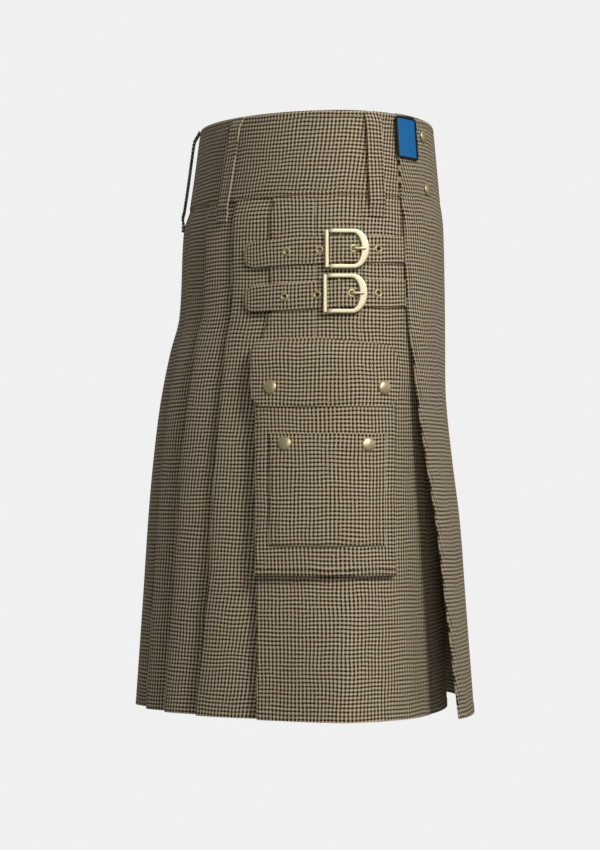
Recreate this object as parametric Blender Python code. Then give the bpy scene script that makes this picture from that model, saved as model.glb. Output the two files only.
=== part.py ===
"""A utility kilt in the shape it has when worn, with no wearer: cloth as thin walls, fittings as solids.

The wearer faces -Y and the wearer's right is -X. Units are metres and +Z is up. The origin is the
middle of the waist, at half the height of the waistband. Heights in the tables are above the hem.
"""
import math
from collections import namedtuple

import bmesh
import bpy
from mathutils import Matrix, Vector

KILT_LENGTH = 0.610
BAND_HEIGHT = 0.085
BAND_BOTTOM = KILT_LENGTH - BAND_HEIGHT
WAIST_LEVEL = KILT_LENGTH - BAND_HEIGHT / 2
SEAM_GAP = 0.0003
LAY_GAP = 0.0004
CLOTH = 0.0016
BAND_CLOTH = 0.0030
BAND_PROUD = 0.0008
LAP_RISE = 0.0034
STRAP_CLOTH = 0.0020
APRON_SIDE_RISE = 0.0046

# Plan of the cloth at a height: the widest point's place forward of the waist axis, the half width,
# the forward reach of the under apron and of the front apron, the backward reach, and how square
# each quarter of the plan is (2 is an ellipse, more is squarer, less is flatter)
Section = namedtuple(
    "Section", "height middle side under_front front back under_square apron_square back_square")
SECTIONS = (
    Section(0.000, 0.0230, 0.2090, 0.1370, 0.1620, 0.1940, 1.85, 3.50, 1.68),
    Section(0.110, 0.0230, 0.2000, 0.1335, 0.1545, 0.1865, 1.90, 3.15, 1.69),
    Section(0.195, 0.0225, 0.1920, 0.1315, 0.1490, 0.1810, 1.95, 2.85, 1.71),
    Section(0.259, 0.0220, 0.1860, 0.1300, 0.1415, 0.1755, 2.00, 2.65, 1.73),
    Section(0.323, 0.0215, 0.1800, 0.1295, 0.1355, 0.1675, 2.10, 2.45, 1.75),
    Section(0.376, 0.0210, 0.1755, 0.1300, 0.1350, 0.1570, 2.20, 2.30, 1.77),
    Section(0.410, 0.0210, 0.1730, 0.1304, 0.1350, 0.1480, 2.25, 2.25, 1.78),
    Section(0.505, 0.0200, 0.1680, 0.1286, 0.1334, 0.1430, 2.15, 2.15, 1.80),
    Section(0.525, 0.0200, 0.1655, 0.1264, 0.1312, 0.1365, 2.10, 2.10, 1.81),
    Section(0.610, 0.0200, 0.1620, 0.1186, 0.1230, 0.1245, 2.05, 2.05, 1.82),
)

# Where a vertical edge runs: its angle from the front at four heights, in degrees
Edge = namedtuple("Edge", "yoke opening low hem")
EDGE_HEIGHTS = (0.410, 0.355, 0.140, 0.000)
PANEL_REAR = Edge(117.1, 120.4, 118.2, 117.1)
PLEAT_EDGES = (
    PANEL_REAR,
    Edge(133.6, 132.8, 133.9, 136.5),
    Edge(148.6, 148.1, 148.8, 149.6),
    Edge(163.5, 163.0, 161.8, 161.0),
)
APRON_FREE_EDGE = Edge(55.8, 52.0, 46.5, 42.5)
APRON_SEWN_EDGE = Edge(56.0, 55.0, 52.0, 50.0)
UNDER_APRON_SEAM = 38.0
UNDER_APRON_FREE = 44.0

# Pleats: how far a fold goes back under, and the pitch from one layer of cloth to the next
PLEAT_UNDERLAY_YOKE = 0.018
PLEAT_UNDERLAY_HEM = 0.026
PLEAT_PITCH_YOKE = 0.0024
PLEAT_PITCH_HEM = 0.0052
PLEAT_FACE_STEPS = 5
PLEAT_OPENING_POWER = 0.7
SKIRT_ROWS = (0.0, 0.075, 0.150, 0.220, 0.285, 0.335, 0.372, 0.410, 0.465, 0.505)
APRON_STEPS = 22
UNDER_APRON_STEPS = 16
PANEL_STEPS = 15
PANEL_TUCK = 5.0
PANEL_SEAM_TURN = 0.17

# Belt loops: the height of each station and the lift off the cloth's outer face
LOOP_WIDTH = 0.016
LOOP_CLOTH = 0.0020
LOOP_FOOT = BAND_PROUD + SEAM_GAP
LOOP_STAND = BAND_PROUD + 0.0043
LOOP_LIFTS = (
    (0.5030, LAY_GAP),
    (0.5110, LAY_GAP + 0.0010),
    (0.5200, LOOP_STAND),
    (0.5500, LOOP_STAND + 0.0004),
    (0.5800, LOOP_STAND + 0.0004),
    (0.5985, LOOP_STAND),
    (0.6060, LOOP_FOOT + 0.0008),
    (0.6095, LOOP_FOOT),
)
# Each belt loop's angle from the front at its top and at its bottom
LOOP_ANGLES = {
    "belt_loop_back": (180.0, 180.0),
    "belt_loop_right_rear": (135.5, 138.5),
    "belt_loop_right_front": (71.6, 71.5),
    "belt_loop_left_front": (-71.6, -71.5),
    "belt_loop_left_rear": (-135.5, -138.5),
}
BAND_INNER_END = -30.0
BAND_OUTER_END = 416.0
BAND_LAP_START = 295.0
BAND_LAP_FULL = 303.0
BAND_STEPS = 88

# Straps: height of the middle line at the free rear end and at the front, and where both ends are
STRAP_WIDTH = 0.027
STRAP_REAR = -0.0740
STRAP_FRONT = 0.0880
STRAP_END_RADIUS = 0.010
STRAP_STEPS = 17
Strap = namedtuple("Strap", "name rear_height front_height buckle eyelets")
STRAPS = (
    Strap("upper", 0.4660, 0.4710, 0.0297, (-0.0315, 0.0008, 0.0337, 0.0584)),
    Strap("lower", 0.4205, 0.4265, 0.0280, (-0.0340, -0.0013, 0.0320, 0.0582)),
)
# The strap's height off the panel: forward distance from the buckle's middle, and the lift
StrapLift = namedtuple("StrapLift", "along lift")
STRAP_LIFTS = (
    StrapLift(-0.1100, LAY_GAP),
    StrapLift(-0.0380, LAY_GAP),
    StrapLift(-0.0225, 0.0010),
    StrapLift(-0.0110, 0.0038),
    StrapLift(0.0040, 0.0033),
    StrapLift(0.0095, 0.0020),
    StrapLift(0.0160, 0.0014),
    StrapLift(0.0300, 0.0006),
    StrapLift(0.0700, LAY_GAP),
)

BUCKLE_HALF = 0.020
BUCKLE_ARM = 0.0030
BUCKLE_RIM = 0.0080
BUCKLE_THICK = 0.0030
BUCKLE_LIFT = 0.0040
BUCKLE_PIN_ALONG = -0.0085
BUCKLE_PIN_RADIUS = 0.0011
BUCKLE_PIN_DROP = 0.0020
BUCKLE_BAR_ALONG = -0.0225
BUCKLE_BAR_RADIUS = 0.0017
BUCKLE_BAR_DROP = 0.0010
BUCKLE_BAR_LENGTH = 0.0385
BUCKLE_STRAIGHT = 0.0040
BUCKLE_NUB_RADIUS = 0.0014
PRONG_RADIUS = 0.0011
EYELET_OUTER = 0.0041
EYELET_HOLE = 0.00225
EYELET_BARREL = 0.0028
STRAP_HOLE = 0.0034

# The cargo pocket on a side panel, by distance forward of the waist axis and height
POCKET_REAR = -0.0615
POCKET_FRONT = 0.0722
POCKET_BOTTOM = 0.1425
POCKET_TOP = 0.3580
POCKET_DEPTH = 0.0090
POCKET_CLOTH = 0.0015
POCKET_RIM = (0.0, 0.0004, 0.0022, 0.0065)
POCKET_STEPS = 13
FLAP_REAR = -0.0632
FLAP_FRONT = 0.0733
FLAP_TOP = 0.3800
FLAP_TOP_DROP = 0.0070
FLAP_BOTTOM = 0.3110
FLAP_CHAMFER = 0.0095
FLAP_TOP_CHAMFER = 0.0060
FLAP_OVER = POCKET_DEPTH + LAY_GAP
# The flap's lift off the panel, by share of the way up from its free edge
FLAP_LIFTS = (
    (0.0, FLAP_OVER),
    (0.25, FLAP_OVER),
    (0.50, FLAP_OVER + 0.0002),
    (0.79, FLAP_OVER),
    (0.92, 0.0052),
    (1.0, LAY_GAP),
)
FLAP_STEPS = 14
PATCH_REAR = -0.0455
PATCH_FRONT = 0.0602
PATCH_BOTTOM = 0.1730
PATCH_TOP = 0.2845
PATCH_STEPS = 12
SNAP_RADIUS = 0.0068
SNAP_HEIGHT = 0.0030
ON_POCKET = FLAP_OVER + POCKET_CLOTH + LAY_GAP
POCKET_SNAPS = {
    "flap_rear": (-0.0437, 0.3310),
    "flap_front": (0.0592, 0.3300),
    "patch_rear": (-0.0300, 0.2745),
    "patch_front": (0.0443, 0.2735),
}

TAB_ANGLE = 49.8
TAB_WIDTH = 0.036
TAB_HEIGHT = 0.044
TAB_CLOTH = 0.0012
BAND_SNAP_ANGLE = 35.0
BAND_SNAP_HEIGHTS = (0.592, 0.537)


def clear_scene():
    """Remove whatever the file already holds."""
    for old in list(bpy.data.objects):
        bpy.data.objects.remove(old)


def make_material(name, colour, roughness, metallic):
    """A plain Principled finish."""
    material = bpy.data.materials.new(name)
    material.use_nodes = True
    shader = material.node_tree.nodes["Principled BSDF"]
    shader.inputs["Base Color"].default_value = (*colour, 1.0)
    shader.inputs["Roughness"].default_value = roughness
    shader.inputs["Metallic"].default_value = metallic
    return material


def smooth_table(rows, key, value, at):
    """Read a column of a table at a value of its key, on a smooth curve through the rows."""
    keys = [getattr(row, key) for row in rows]
    values = [getattr(row, value) for row in rows]
    if at <= keys[0]:
        return values[0]
    if at >= keys[-1]:
        return values[-1]
    slot = max(i for i, k in enumerate(keys[:-1]) if k <= at)
    slopes = []
    for i in (slot, slot + 1):
        low = max(i - 1, 0)
        high = min(i + 1, len(keys) - 1)
        slopes.append((values[high] - values[low]) / (keys[high] - keys[low]))
    span = keys[slot + 1] - keys[slot]
    t = (at - keys[slot]) / span
    h00 = 2 * t ** 3 - 3 * t ** 2 + 1
    h10 = t ** 3 - 2 * t ** 2 + t
    return (h00 * values[slot] + h10 * span * slopes[0]
            + (1 - h00) * values[slot + 1] + (t ** 3 - t ** 2) * span * slopes[1])


def edge_angle(edge, height):
    """The angle of a vertical edge at a height, straight between its four heights."""
    for i in range(len(EDGE_HEIGHTS) - 1):
        upper = EDGE_HEIGHTS[i]
        lower = EDGE_HEIGHTS[i + 1]
        if height >= upper:
            return edge[i]
        if height >= lower:
            return edge[i] + (edge[i + 1] - edge[i]) * (upper - height) / (upper - lower)
    return edge[-1]


def plan_sizes(height, layer, front):
    """Middle, reach, half width and squareness of one quarter of the plan."""
    read = lambda column: smooth_table(SECTIONS, "height", column, height)
    middle = read("middle")
    side = read("side")
    if not front:
        return middle, read("back") + middle, side, read("back_square")
    if layer == "base":
        return middle, read("under_front") - middle, side, read("under_square")
    reach = read("front") - middle
    if layer == "tucked":
        return middle, reach - APRON_SIDE_RISE, side, read("apron_square")
    return middle, reach, side + APRON_SIDE_RISE, read("apron_square")


def at_angle(height, degrees, layer):
    """Plan point (forward, right) at an angle from the front, positive to the wearer's right."""
    turn = math.radians(degrees)
    middle, reach, side, square = plan_sizes(height, layer, math.cos(turn) >= 0)
    forward = math.copysign(abs(math.cos(turn)) ** (2 / square), math.cos(turn))
    right = math.copysign(abs(math.sin(turn)) ** (2 / square), math.sin(turn))
    return Vector((middle + reach * forward, side * right))


def at_forward(height, forward, hand, layer):
    """Plan point on one side, at a distance forward of the waist axis."""
    middle = smooth_table(SECTIONS, "height", "middle", height)
    middle, reach, side, square = plan_sizes(height, layer, forward >= middle)
    share = min(abs(forward - middle) / reach, 1.0)
    return Vector((forward, hand * side * (1 - share ** square) ** (1 / square)))


def pushed(before, here, after, offset):
    """A plan point moved outwards by an offset, square to the line through its neighbours."""
    run = (after - before).normalized()
    outward = Vector((run.y, -run.x))
    if outward.dot(here) < 0:
        outward = -outward
    return here + outward * offset


def angle_point(height, degrees, offset, layer="base"):
    """A point of the garment by angle, moved out from the cloth's outer face."""
    step = 0.6
    here = at_angle(height, degrees, layer)
    before = at_angle(height, degrees - step, layer)
    after = at_angle(height, degrees + step, layer)
    return to_world(pushed(before, here, after, offset), height)


def side_layer(hand):
    """The left panel hangs from the apron's sewn edge, and the right one from the under apron."""
    return "base" if hand > 0 else "tucked"


def side_point(height, forward, hand, offset):
    """A point on a side panel by distance forward, moved out from the cloth's outer face."""
    step = 0.001
    layer = side_layer(hand)
    here = at_forward(height, forward, hand, layer)
    before = at_forward(height, forward - step, hand, layer)
    after = at_forward(height, forward + step, hand, layer)
    return to_world(pushed(before, here, after, offset), height)


def to_world(plan, height):
    """Turn forward, right and height into the model's axes."""
    return Vector((-plan.y, -plan.x, height - WAIST_LEVEL))


def finish_mesh(name, mesh_data, material):
    """Link a closed bmesh as an object, with its faces pointing out."""
    bmesh.ops.recalc_face_normals(mesh_data, faces=mesh_data.faces)
    mesh = bpy.data.meshes.new(name)
    mesh_data.to_mesh(mesh)
    mesh_data.free()
    mesh.shade_smooth()
    mesh.set_sharp_from_angle(angle=math.radians(40))
    return link_object(name, mesh, material)


def link_object(name, mesh, material):
    """Make an object in the kilt's collection."""
    piece = bpy.data.objects.new(name, mesh)
    kilt.objects.link(piece)
    if not mesh.materials:
        mesh.materials.append(material)
    return piece


def cloth_wall(name, outer, inner, material):
    """A closed wall between two grids of points, given as rows of equal length."""
    shape = bmesh.new()
    faces = [[[shape.verts.new(point) for point in row] for row in grid] for grid in (outer, inner)]
    rows = len(outer)
    columns = len(outer[0])
    for grid in faces:
        for i in range(rows - 1):
            for j in range(columns - 1):
                shape.faces.new((grid[i][j], grid[i][j + 1], grid[i + 1][j + 1], grid[i + 1][j]))
    rim = [(0, j) for j in range(columns)]
    rim += [(i, columns - 1) for i in range(1, rows)]
    rim += [(rows - 1, j) for j in range(columns - 2, -1, -1)]
    rim += [(i, 0) for i in range(rows - 2, 0, -1)]
    for here, there in zip(rim, rim[1:] + rim[:1]):
        shape.faces.new((
            faces[0][here[0]][here[1]], faces[0][there[0]][there[1]],
            faces[1][there[0]][there[1]], faces[1][here[0]][here[1]]))
    return finish_mesh(name, shape, material)


def turned(name, profile, segments):
    """A mesh turned round Z from a closed profile of (radius, height); radius 0 closes to a point."""
    shape = bmesh.new()
    rings = []
    for radius, level in profile:
        if radius == 0:
            rings.append([shape.verts.new((0, 0, level))] * segments)
            continue
        ring = []
        for k in range(segments):
            turn = 2 * math.pi * k / segments
            ring.append(shape.verts.new((radius * math.cos(turn), radius * math.sin(turn), level)))
        rings.append(ring)
    last = len(rings) if profile[0][0] > 0 else len(rings) - 1
    for i in range(last):
        lower = rings[i]
        upper = rings[(i + 1) % len(rings)]
        for k in range(segments):
            corners = [lower[k], lower[(k + 1) % segments], upper[(k + 1) % segments], upper[k]]
            shape.faces.new(list(dict.fromkeys(corners)))
    bmesh.ops.recalc_face_normals(shape, faces=shape.faces)
    mesh = bpy.data.meshes.new(name)
    shape.to_mesh(mesh)
    shape.free()
    mesh.shade_smooth()
    mesh.set_sharp_from_angle(angle=math.radians(50))
    return mesh


def swept(name, path, sizes, corners):
    """A mesh swept along a path in the XY or XZ plane; sizes are (half width, half height)."""
    shape = bmesh.new()
    rings = []
    flat = all(abs(point.z - path[0].z) < 1e-9 for point in path)
    across = Vector((0, 0, 1)) if flat else Vector((0, 1, 0))
    for i, point in enumerate(path):
        run = (path[min(i + 1, len(path) - 1)] - path[max(i - 1, 0)]).normalized()
        wide = run.cross(across).normalized()
        ring = []
        for k in range(corners):
            turn = 2 * math.pi * (k + 0.5) / corners
            x = math.copysign(abs(math.cos(turn)) ** 0.7, math.cos(turn))
            y = math.copysign(abs(math.sin(turn)) ** 0.7, math.sin(turn))
            ring.append(shape.verts.new(point + wide * (x * sizes[i][0]) + across * (y * sizes[i][1])))
        rings.append(ring)
    for lower, upper in zip(rings, rings[1:]):
        for k in range(corners):
            shape.faces.new((lower[k], lower[(k + 1) % corners], upper[(k + 1) % corners], upper[k]))
    shape.faces.new(rings[0])
    shape.faces.new(rings[-1])
    bmesh.ops.recalc_face_normals(shape, faces=shape.faces)
    mesh = bpy.data.meshes.new(name)
    shape.to_mesh(mesh)
    shape.free()
    return mesh


def evaluated_mesh(piece):
    """The mesh of an object with its modifiers applied."""
    graph = bpy.context.evaluated_depsgraph_get()
    graph.update()
    return bpy.data.meshes.new_from_object(piece.evaluated_get(graph), depsgraph=graph)


def boolean(piece, tool_mesh, operation):
    """Join or cut a piece with a mesh, and apply it."""
    tool = bpy.data.objects.new(piece.name + "_tool", tool_mesh)
    cutters.objects.link(tool)
    tool.hide_render = True
    tool.display_type = "WIRE"
    modifier = piece.modifiers.new("cut", "BOOLEAN")
    modifier.operation = operation
    modifier.object = tool
    modifier.solver = "EXACT"
    result = evaluated_mesh(piece)
    piece.modifiers.clear()
    piece.data = result
    bpy.data.objects.remove(tool)


def spread(low, high, count):
    """Evenly spaced numbers from low to high."""
    return [low + (high - low) * i / count for i in range(count + 1)]


def skirt_rows():
    """Heights of the skirt's rows, up to just under the waistband."""
    return list(SKIRT_ROWS) + [BAND_BOTTOM - SEAM_GAP]


def make_waistband():
    """One long strip that starts inside at the left front and laps over itself across the front."""
    rows = (BAND_BOTTOM, BAND_BOTTOM + BAND_HEIGHT / 2, KILT_LENGTH)
    turns = spread(BAND_INNER_END, BAND_OUTER_END, BAND_STEPS)

    def rise(degrees):
        t = (degrees - BAND_LAP_START) / (BAND_LAP_FULL - BAND_LAP_START)
        t = min(max(t, 0.0), 1.0)
        return BAND_PROUD + LAP_RISE * t * t * (3 - 2 * t)

    outer = [[angle_point(height, turn, rise(turn)) for turn in turns] for height in rows]
    inner = [[angle_point(height, turn, rise(turn) - BAND_CLOTH) for turn in turns] for height in rows]
    cloth_wall("waistband", outer, inner, check_cloth)


def make_apron():
    """The front apron: free edge on the wearer's right, sewn edge on the left."""
    outer = []
    inner = []
    for height in skirt_rows():
        left = -edge_angle(APRON_SEWN_EDGE, height)
        right = edge_angle(APRON_FREE_EDGE, height)
        turns = spread(left, right, APRON_STEPS)
        outer.append([angle_point(height, turn, 0.0, "apron") for turn in turns])
        inner.append([angle_point(height, turn, -CLOTH, "apron") for turn in turns])
    cloth_wall("front_apron", outer, inner, check_cloth)


def make_under_apron():
    """The inner layer across the front, joined to the right side panel."""
    outer = []
    inner = []
    for height in skirt_rows():
        turns = spread(-UNDER_APRON_FREE, UNDER_APRON_SEAM, UNDER_APRON_STEPS)
        outer.append([angle_point(height, turn, 0.0) for turn in turns])
        inner.append([angle_point(height, turn, -CLOTH) for turn in turns])
    cloth_wall("under_apron", outer, inner, check_cloth)


def make_side_panel(name, hand):
    """The flat panel at a hip, from the front seam to the first pleat's edge."""
    layer = side_layer(hand)
    outer = []
    inner = []
    for height in skirt_rows():
        front = edge_angle(APRON_SEWN_EDGE, height) - PANEL_TUCK
        if hand > 0:
            front = UNDER_APRON_SEAM + PANEL_SEAM_TURN
        turns = [hand * turn for turn in spread(front, edge_angle(PANEL_REAR, height), PANEL_STEPS)]
        outer.append([angle_point(height, turn, 0.0, layer) for turn in turns])
        inner.append([angle_point(height, turn, -CLOTH, layer) for turn in turns])
    cloth_wall(name, outer, inner, check_cloth)


def pleat_share(height):
    """How open the pleats are at a height: 0 where they are stitched down, 1 at the hem."""
    stitched = EDGE_HEIGHTS[0]
    return max(0.0, (stitched - height) / stitched) ** PLEAT_OPENING_POWER


def pleat_half(height):
    """Middle line of the pleated cloth on the right, as (angle, depth), from the hip to the back."""
    open_share = pleat_share(height)
    pitch = PLEAT_PITCH_YOKE + (PLEAT_PITCH_HEM - PLEAT_PITCH_YOKE) * open_share
    underlay = PLEAT_UNDERLAY_YOKE + (PLEAT_UNDERLAY_HEM - PLEAT_UNDERLAY_YOKE) * open_share
    skin = CLOTH / 2
    turns = [edge_angle(edge, height) for edge in PLEAT_EDGES] + [180.0]
    line = [(turns[0], skin + pitch)]
    start_depth = skin
    face_length = None
    for k in range(len(PLEAT_EDGES)):
        here = turns[k]
        speed = (at_angle(height, here + 0.5, "base") - at_angle(height, here - 0.5, "base")).length
        fold = underlay / speed
        bend = pitch / 2 / speed
        if face_length is None:
            covered = skin
        else:
            covered = skin + (start_depth - skin) * underlay / face_length
        if k > 0:
            line.append((here - bend, skin + pitch))
        line.append((here - fold + bend, covered + pitch))
        line.append((here - fold, covered + 1.5 * pitch))
        line.append((here - fold + bend, covered + 2 * pitch))
        start_depth = covered + 2 * pitch
        following = turns[k + 1]
        chord = at_angle(height, following, "base") - at_angle(height, here, "base")
        face_length = chord.length + underlay
        stop = following - bend if k + 1 < len(PLEAT_EDGES) else following
        face = spread(here - fold + bend, stop, PLEAT_FACE_STEPS)
        for step, turn in enumerate(face[1:], 1):
            line.append((turn, start_depth + (skin - start_depth) * step / PLEAT_FACE_STEPS))
        if k + 1 < len(PLEAT_EDGES):
            line.append((following, skin + pitch / 2))
    return line


def offset_line(points, amount):
    """A plan line moved to its left by an amount, with mitred corners."""
    moved = []
    for i, here in enumerate(points):
        before = points[max(i - 1, 0)]
        after = points[min(i + 1, len(points) - 1)]
        first = (here - before).normalized() if i else (after - here).normalized()
        second = (after - here).normalized() if i < len(points) - 1 else first
        normal = Vector((-first.y - second.y, first.x + second.x)).normalized()
        corner = max(normal.dot(Vector((-first.y, first.x))), 0.62)
        moved.append(here + normal * (amount / corner))
    return moved


def cut_out(rows, first, last):
    """Part of each row of points, from one column to another, held half a gap back from a seam."""
    parts = []
    for row in rows:
        part = row[first:last + 1]
        if first > 0:
            part[0] = part[0] + (part[1] - part[0]).normalized() * (SEAM_GAP / 2)
        if last < len(row) - 1:
            part[-1] = part[-1] + (part[-2] - part[-1]).normalized() * (SEAM_GAP / 2)
        parts.append(part)
    return parts


def make_pleats():
    """The pleated back: three cut pieces, joined by seams hidden in the last pleats' inner folds."""
    outer = []
    inner = []
    for height in skirt_rows():
        half = pleat_half(height)
        line = half + [(360.0 - turn, depth) for turn, depth in reversed(half[:-1])]
        plan = []
        for turn, depth in line:
            before = at_angle(height, turn - 0.6, "base")
            here = at_angle(height, turn, "base")
            after = at_angle(height, turn + 0.6, "base")
            plan.append(pushed(before, here, after, -depth))
        outer.append([to_world(point, height) for point in offset_line(plan, CLOTH / 2)])
        inner.append([to_world(point, height) for point in offset_line(plan, -CLOTH / 2)])
    end = len(line) - 1
    seam = len(half) - PLEAT_FACE_STEPS - 2
    pieces = {
        "pleated_back_right": (0, seam),
        "back_panel": (seam, end - seam),
        "pleated_back_left": (end - seam, end),
    }
    for name, (first, last) in pieces.items():
        cloth_wall(name, cut_out(outer, first, last), cut_out(inner, first, last), check_cloth)


def make_belt_loops():
    """Strips sewn at the top edge and below the seam, standing off the waistband between."""
    low = LOOP_LIFTS[0][0]
    high = LOOP_LIFTS[-1][0]
    for name, (top, bottom) in LOOP_ANGLES.items():
        outer = []
        inner = []
        for height, lift in LOOP_LIFTS:
            middle = bottom + (top - bottom) * (height - low) / (high - low)
            speed = (at_angle(height, middle + 1, "base") - at_angle(height, middle - 1, "base")).length
            half = LOOP_WIDTH / speed
            turns = spread(middle - half, middle + half, 2)
            inner.append([angle_point(height, turn, lift) for turn in turns])
            outer.append([angle_point(height, turn, lift + LOOP_CLOTH) for turn in turns])
        cloth_wall(name, outer, inner, check_cloth)


def strap_height(strap, forward):
    """Height of the strap's middle line."""
    share = (forward - STRAP_REAR) / (STRAP_FRONT - STRAP_REAR)
    return strap.rear_height + (strap.front_height - strap.rear_height) * share


def strap_lift(strap, forward):
    """How far the strap's inner face is off the panel."""
    return smooth_table(STRAP_LIFTS, "along", "lift", forward - strap.buckle)


def surface_frame(height, forward, hand, lift, tilt=0.0):
    """A placement on a side panel: X runs forward, Z points out, Y stands up (down on the left)."""
    here = side_point(height, forward, hand, lift)
    ahead = side_point(height, forward + 0.004, hand, lift + 0.004 * tilt)
    behind = side_point(height, forward - 0.004, hand, lift - 0.004 * tilt)
    above = side_point(height + 0.004, forward, hand, lift)
    below = side_point(height - 0.004, forward, hand, lift)
    along = (ahead - behind).normalized()
    out = along.cross(above - below).normalized() * hand
    up = out.cross(along)
    turn = Matrix((along, up, out)).transposed()
    return Matrix.Translation(here) @ turn.to_4x4()


def strap_frame(strap, forward, hand, extra):
    """A placement on the strap, at a height above its inner face."""
    slope = (strap_lift(strap, forward + 0.003) - strap_lift(strap, forward - 0.003)) / 0.006
    lift = strap_lift(strap, forward) + extra
    return surface_frame(strap_height(strap, forward), forward, hand, lift, slope)


def make_strap(hand_name, hand, strap):
    """A strap with a round free end at the rear and four holes for its eyelets."""
    radius = STRAP_END_RADIUS
    stations = [STRAP_REAR + radius * (1 - math.cos(math.radians(a))) for a in (12, 40, 66, 90)]
    stations += spread(stations[-1], STRAP_FRONT, STRAP_STEPS)[1:]
    outer = []
    inner = []
    for forward in stations:
        inset = max(0.0, 1 - (forward - STRAP_REAR) / radius)
        half = STRAP_WIDTH / 2 - radius + radius * math.sqrt(1 - inset * inset)
        middle = strap_height(strap, forward)
        lift = strap_lift(strap, forward)
        rows = (middle - half, middle, middle + half)
        inner.append([side_point(height, forward, hand, lift) for height in rows])
        outer.append([side_point(height, forward, hand, lift + STRAP_CLOTH) for height in rows])
    piece = cloth_wall(f"strap_{hand_name}_{strap.name}", outer, inner, check_cloth)
    holes = bmesh.new()
    for forward in strap.eyelets:
        place = strap_frame(strap, forward, hand, 0.0)
        bmesh.ops.create_cone(holes, cap_ends=True, segments=8, radius1=STRAP_HOLE, radius2=STRAP_HOLE,
                              depth=STRAP_CLOTH * 4, matrix=place)
    mesh = bpy.data.meshes.new("holes")
    holes.to_mesh(mesh)
    holes.free()
    boolean(piece, mesh, "DIFFERENCE")


def eyelet_mesh():
    """A rolled ring with a barrel through the strap; Z = 0 is the strap's outer face."""
    profile = (
        (EYELET_HOLE, -STRAP_CLOTH + 0.0002),
        (EYELET_BARREL, -STRAP_CLOTH + 0.0002),
        (EYELET_BARREL, SEAM_GAP),
        (EYELET_OUTER, SEAM_GAP),
        (EYELET_OUTER - 0.0012, SEAM_GAP + 0.0009),
    )
    return turned("eyelet", profile, 12)


def snap_mesh():
    """A snap's domed cap."""
    profile = (
        (0.0, 0.0),
        (SNAP_RADIUS, 0.0),
        (SNAP_RADIUS, SNAP_HEIGHT * 0.28),
        (SNAP_RADIUS * 0.86, SNAP_HEIGHT * 0.62),
        (SNAP_RADIUS * 0.50, SNAP_HEIGHT * 0.92),
        (0.0, SNAP_HEIGHT),
    )
    return turned("snap", profile, 12)


def buckle_mesh():
    """A D frame with a straight bar behind and a pin under the strap, joined into one casting."""
    path = []
    sizes = []
    middle_line = BUCKLE_HALF - BUCKLE_ARM / 2
    neck = BUCKLE_BAR_ALONG - 0.0002
    level = BUCKLE_THICK / 2
    for along in (neck, -BUCKLE_HALF + 0.0006, -0.008):
        path.append(Vector((along, -middle_line, level)))
        thin = 0.55 if along == neck else 1.0
        sizes.append((BUCKLE_ARM / 2 * thin, BUCKLE_THICK / 2 * thin))
    reach = BUCKLE_HALF - BUCKLE_RIM / 2 - BUCKLE_STRAIGHT
    for step in range(9):
        turn = math.radians(-90 + 180 * step / 8)
        x = BUCKLE_STRAIGHT + reach * math.cos(turn)
        y = middle_line * math.sin(turn)
        path.append(Vector((x, y, level)))
        wide = BUCKLE_ARM / 2 + (BUCKLE_RIM - BUCKLE_ARM) / 2 * max(math.cos(turn), 0.0) ** 1.6
        sizes.append((wide, BUCKLE_THICK / 2))
    path += [Vector((point.x, -point.y, point.z)) for point in reversed(path[:3])]
    sizes += list(reversed(sizes[:3]))
    frame_mesh = swept("buckle_frame", path, sizes, 8)
    holder = bpy.data.objects.new("buckle_draft", frame_mesh)
    kilt.objects.link(holder)
    extras = bmesh.new()
    side_turn = Matrix.Rotation(math.radians(90), 4, "X")
    bar = Matrix.Translation((BUCKLE_BAR_ALONG, 0, level - BUCKLE_BAR_DROP)) @ side_turn
    bmesh.ops.create_cone(extras, cap_ends=True, segments=8, radius1=BUCKLE_BAR_RADIUS,
                          radius2=BUCKLE_BAR_RADIUS, depth=BUCKLE_BAR_LENGTH, matrix=bar)
    mesh = bpy.data.meshes.new("bar")
    extras.to_mesh(mesh)
    extras.free()
    boolean(holder, mesh, "UNION")
    extras = bmesh.new()
    pin = Matrix.Translation((BUCKLE_PIN_ALONG, 0, -BUCKLE_PIN_DROP)) @ side_turn
    bmesh.ops.create_cone(extras, cap_ends=True, segments=8, radius1=BUCKLE_PIN_RADIUS,
                          radius2=BUCKLE_PIN_RADIUS, depth=2 * middle_line + 0.0006, matrix=pin)
    mesh = bpy.data.meshes.new("pin")
    extras.to_mesh(mesh)
    extras.free()
    nub = bmesh.new()
    for sign in (-1, 1):
        foot = Matrix.Translation((BUCKLE_PIN_ALONG, sign * middle_line, (level - BUCKLE_PIN_DROP) / 2))
        bmesh.ops.create_cone(nub, cap_ends=True, segments=8, radius1=BUCKLE_NUB_RADIUS,
                              radius2=BUCKLE_NUB_RADIUS, depth=level + BUCKLE_PIN_DROP + 0.0012, matrix=foot)
    nub_mesh = bpy.data.meshes.new("nubs")
    nub.to_mesh(nub_mesh)
    nub.free()
    boolean(holder, nub_mesh, "UNION")
    boolean(holder, mesh, "UNION")
    result = holder.data
    bpy.data.objects.remove(holder)
    result.shade_smooth()
    result.set_sharp_from_angle(angle=math.radians(45))
    return result


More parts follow.
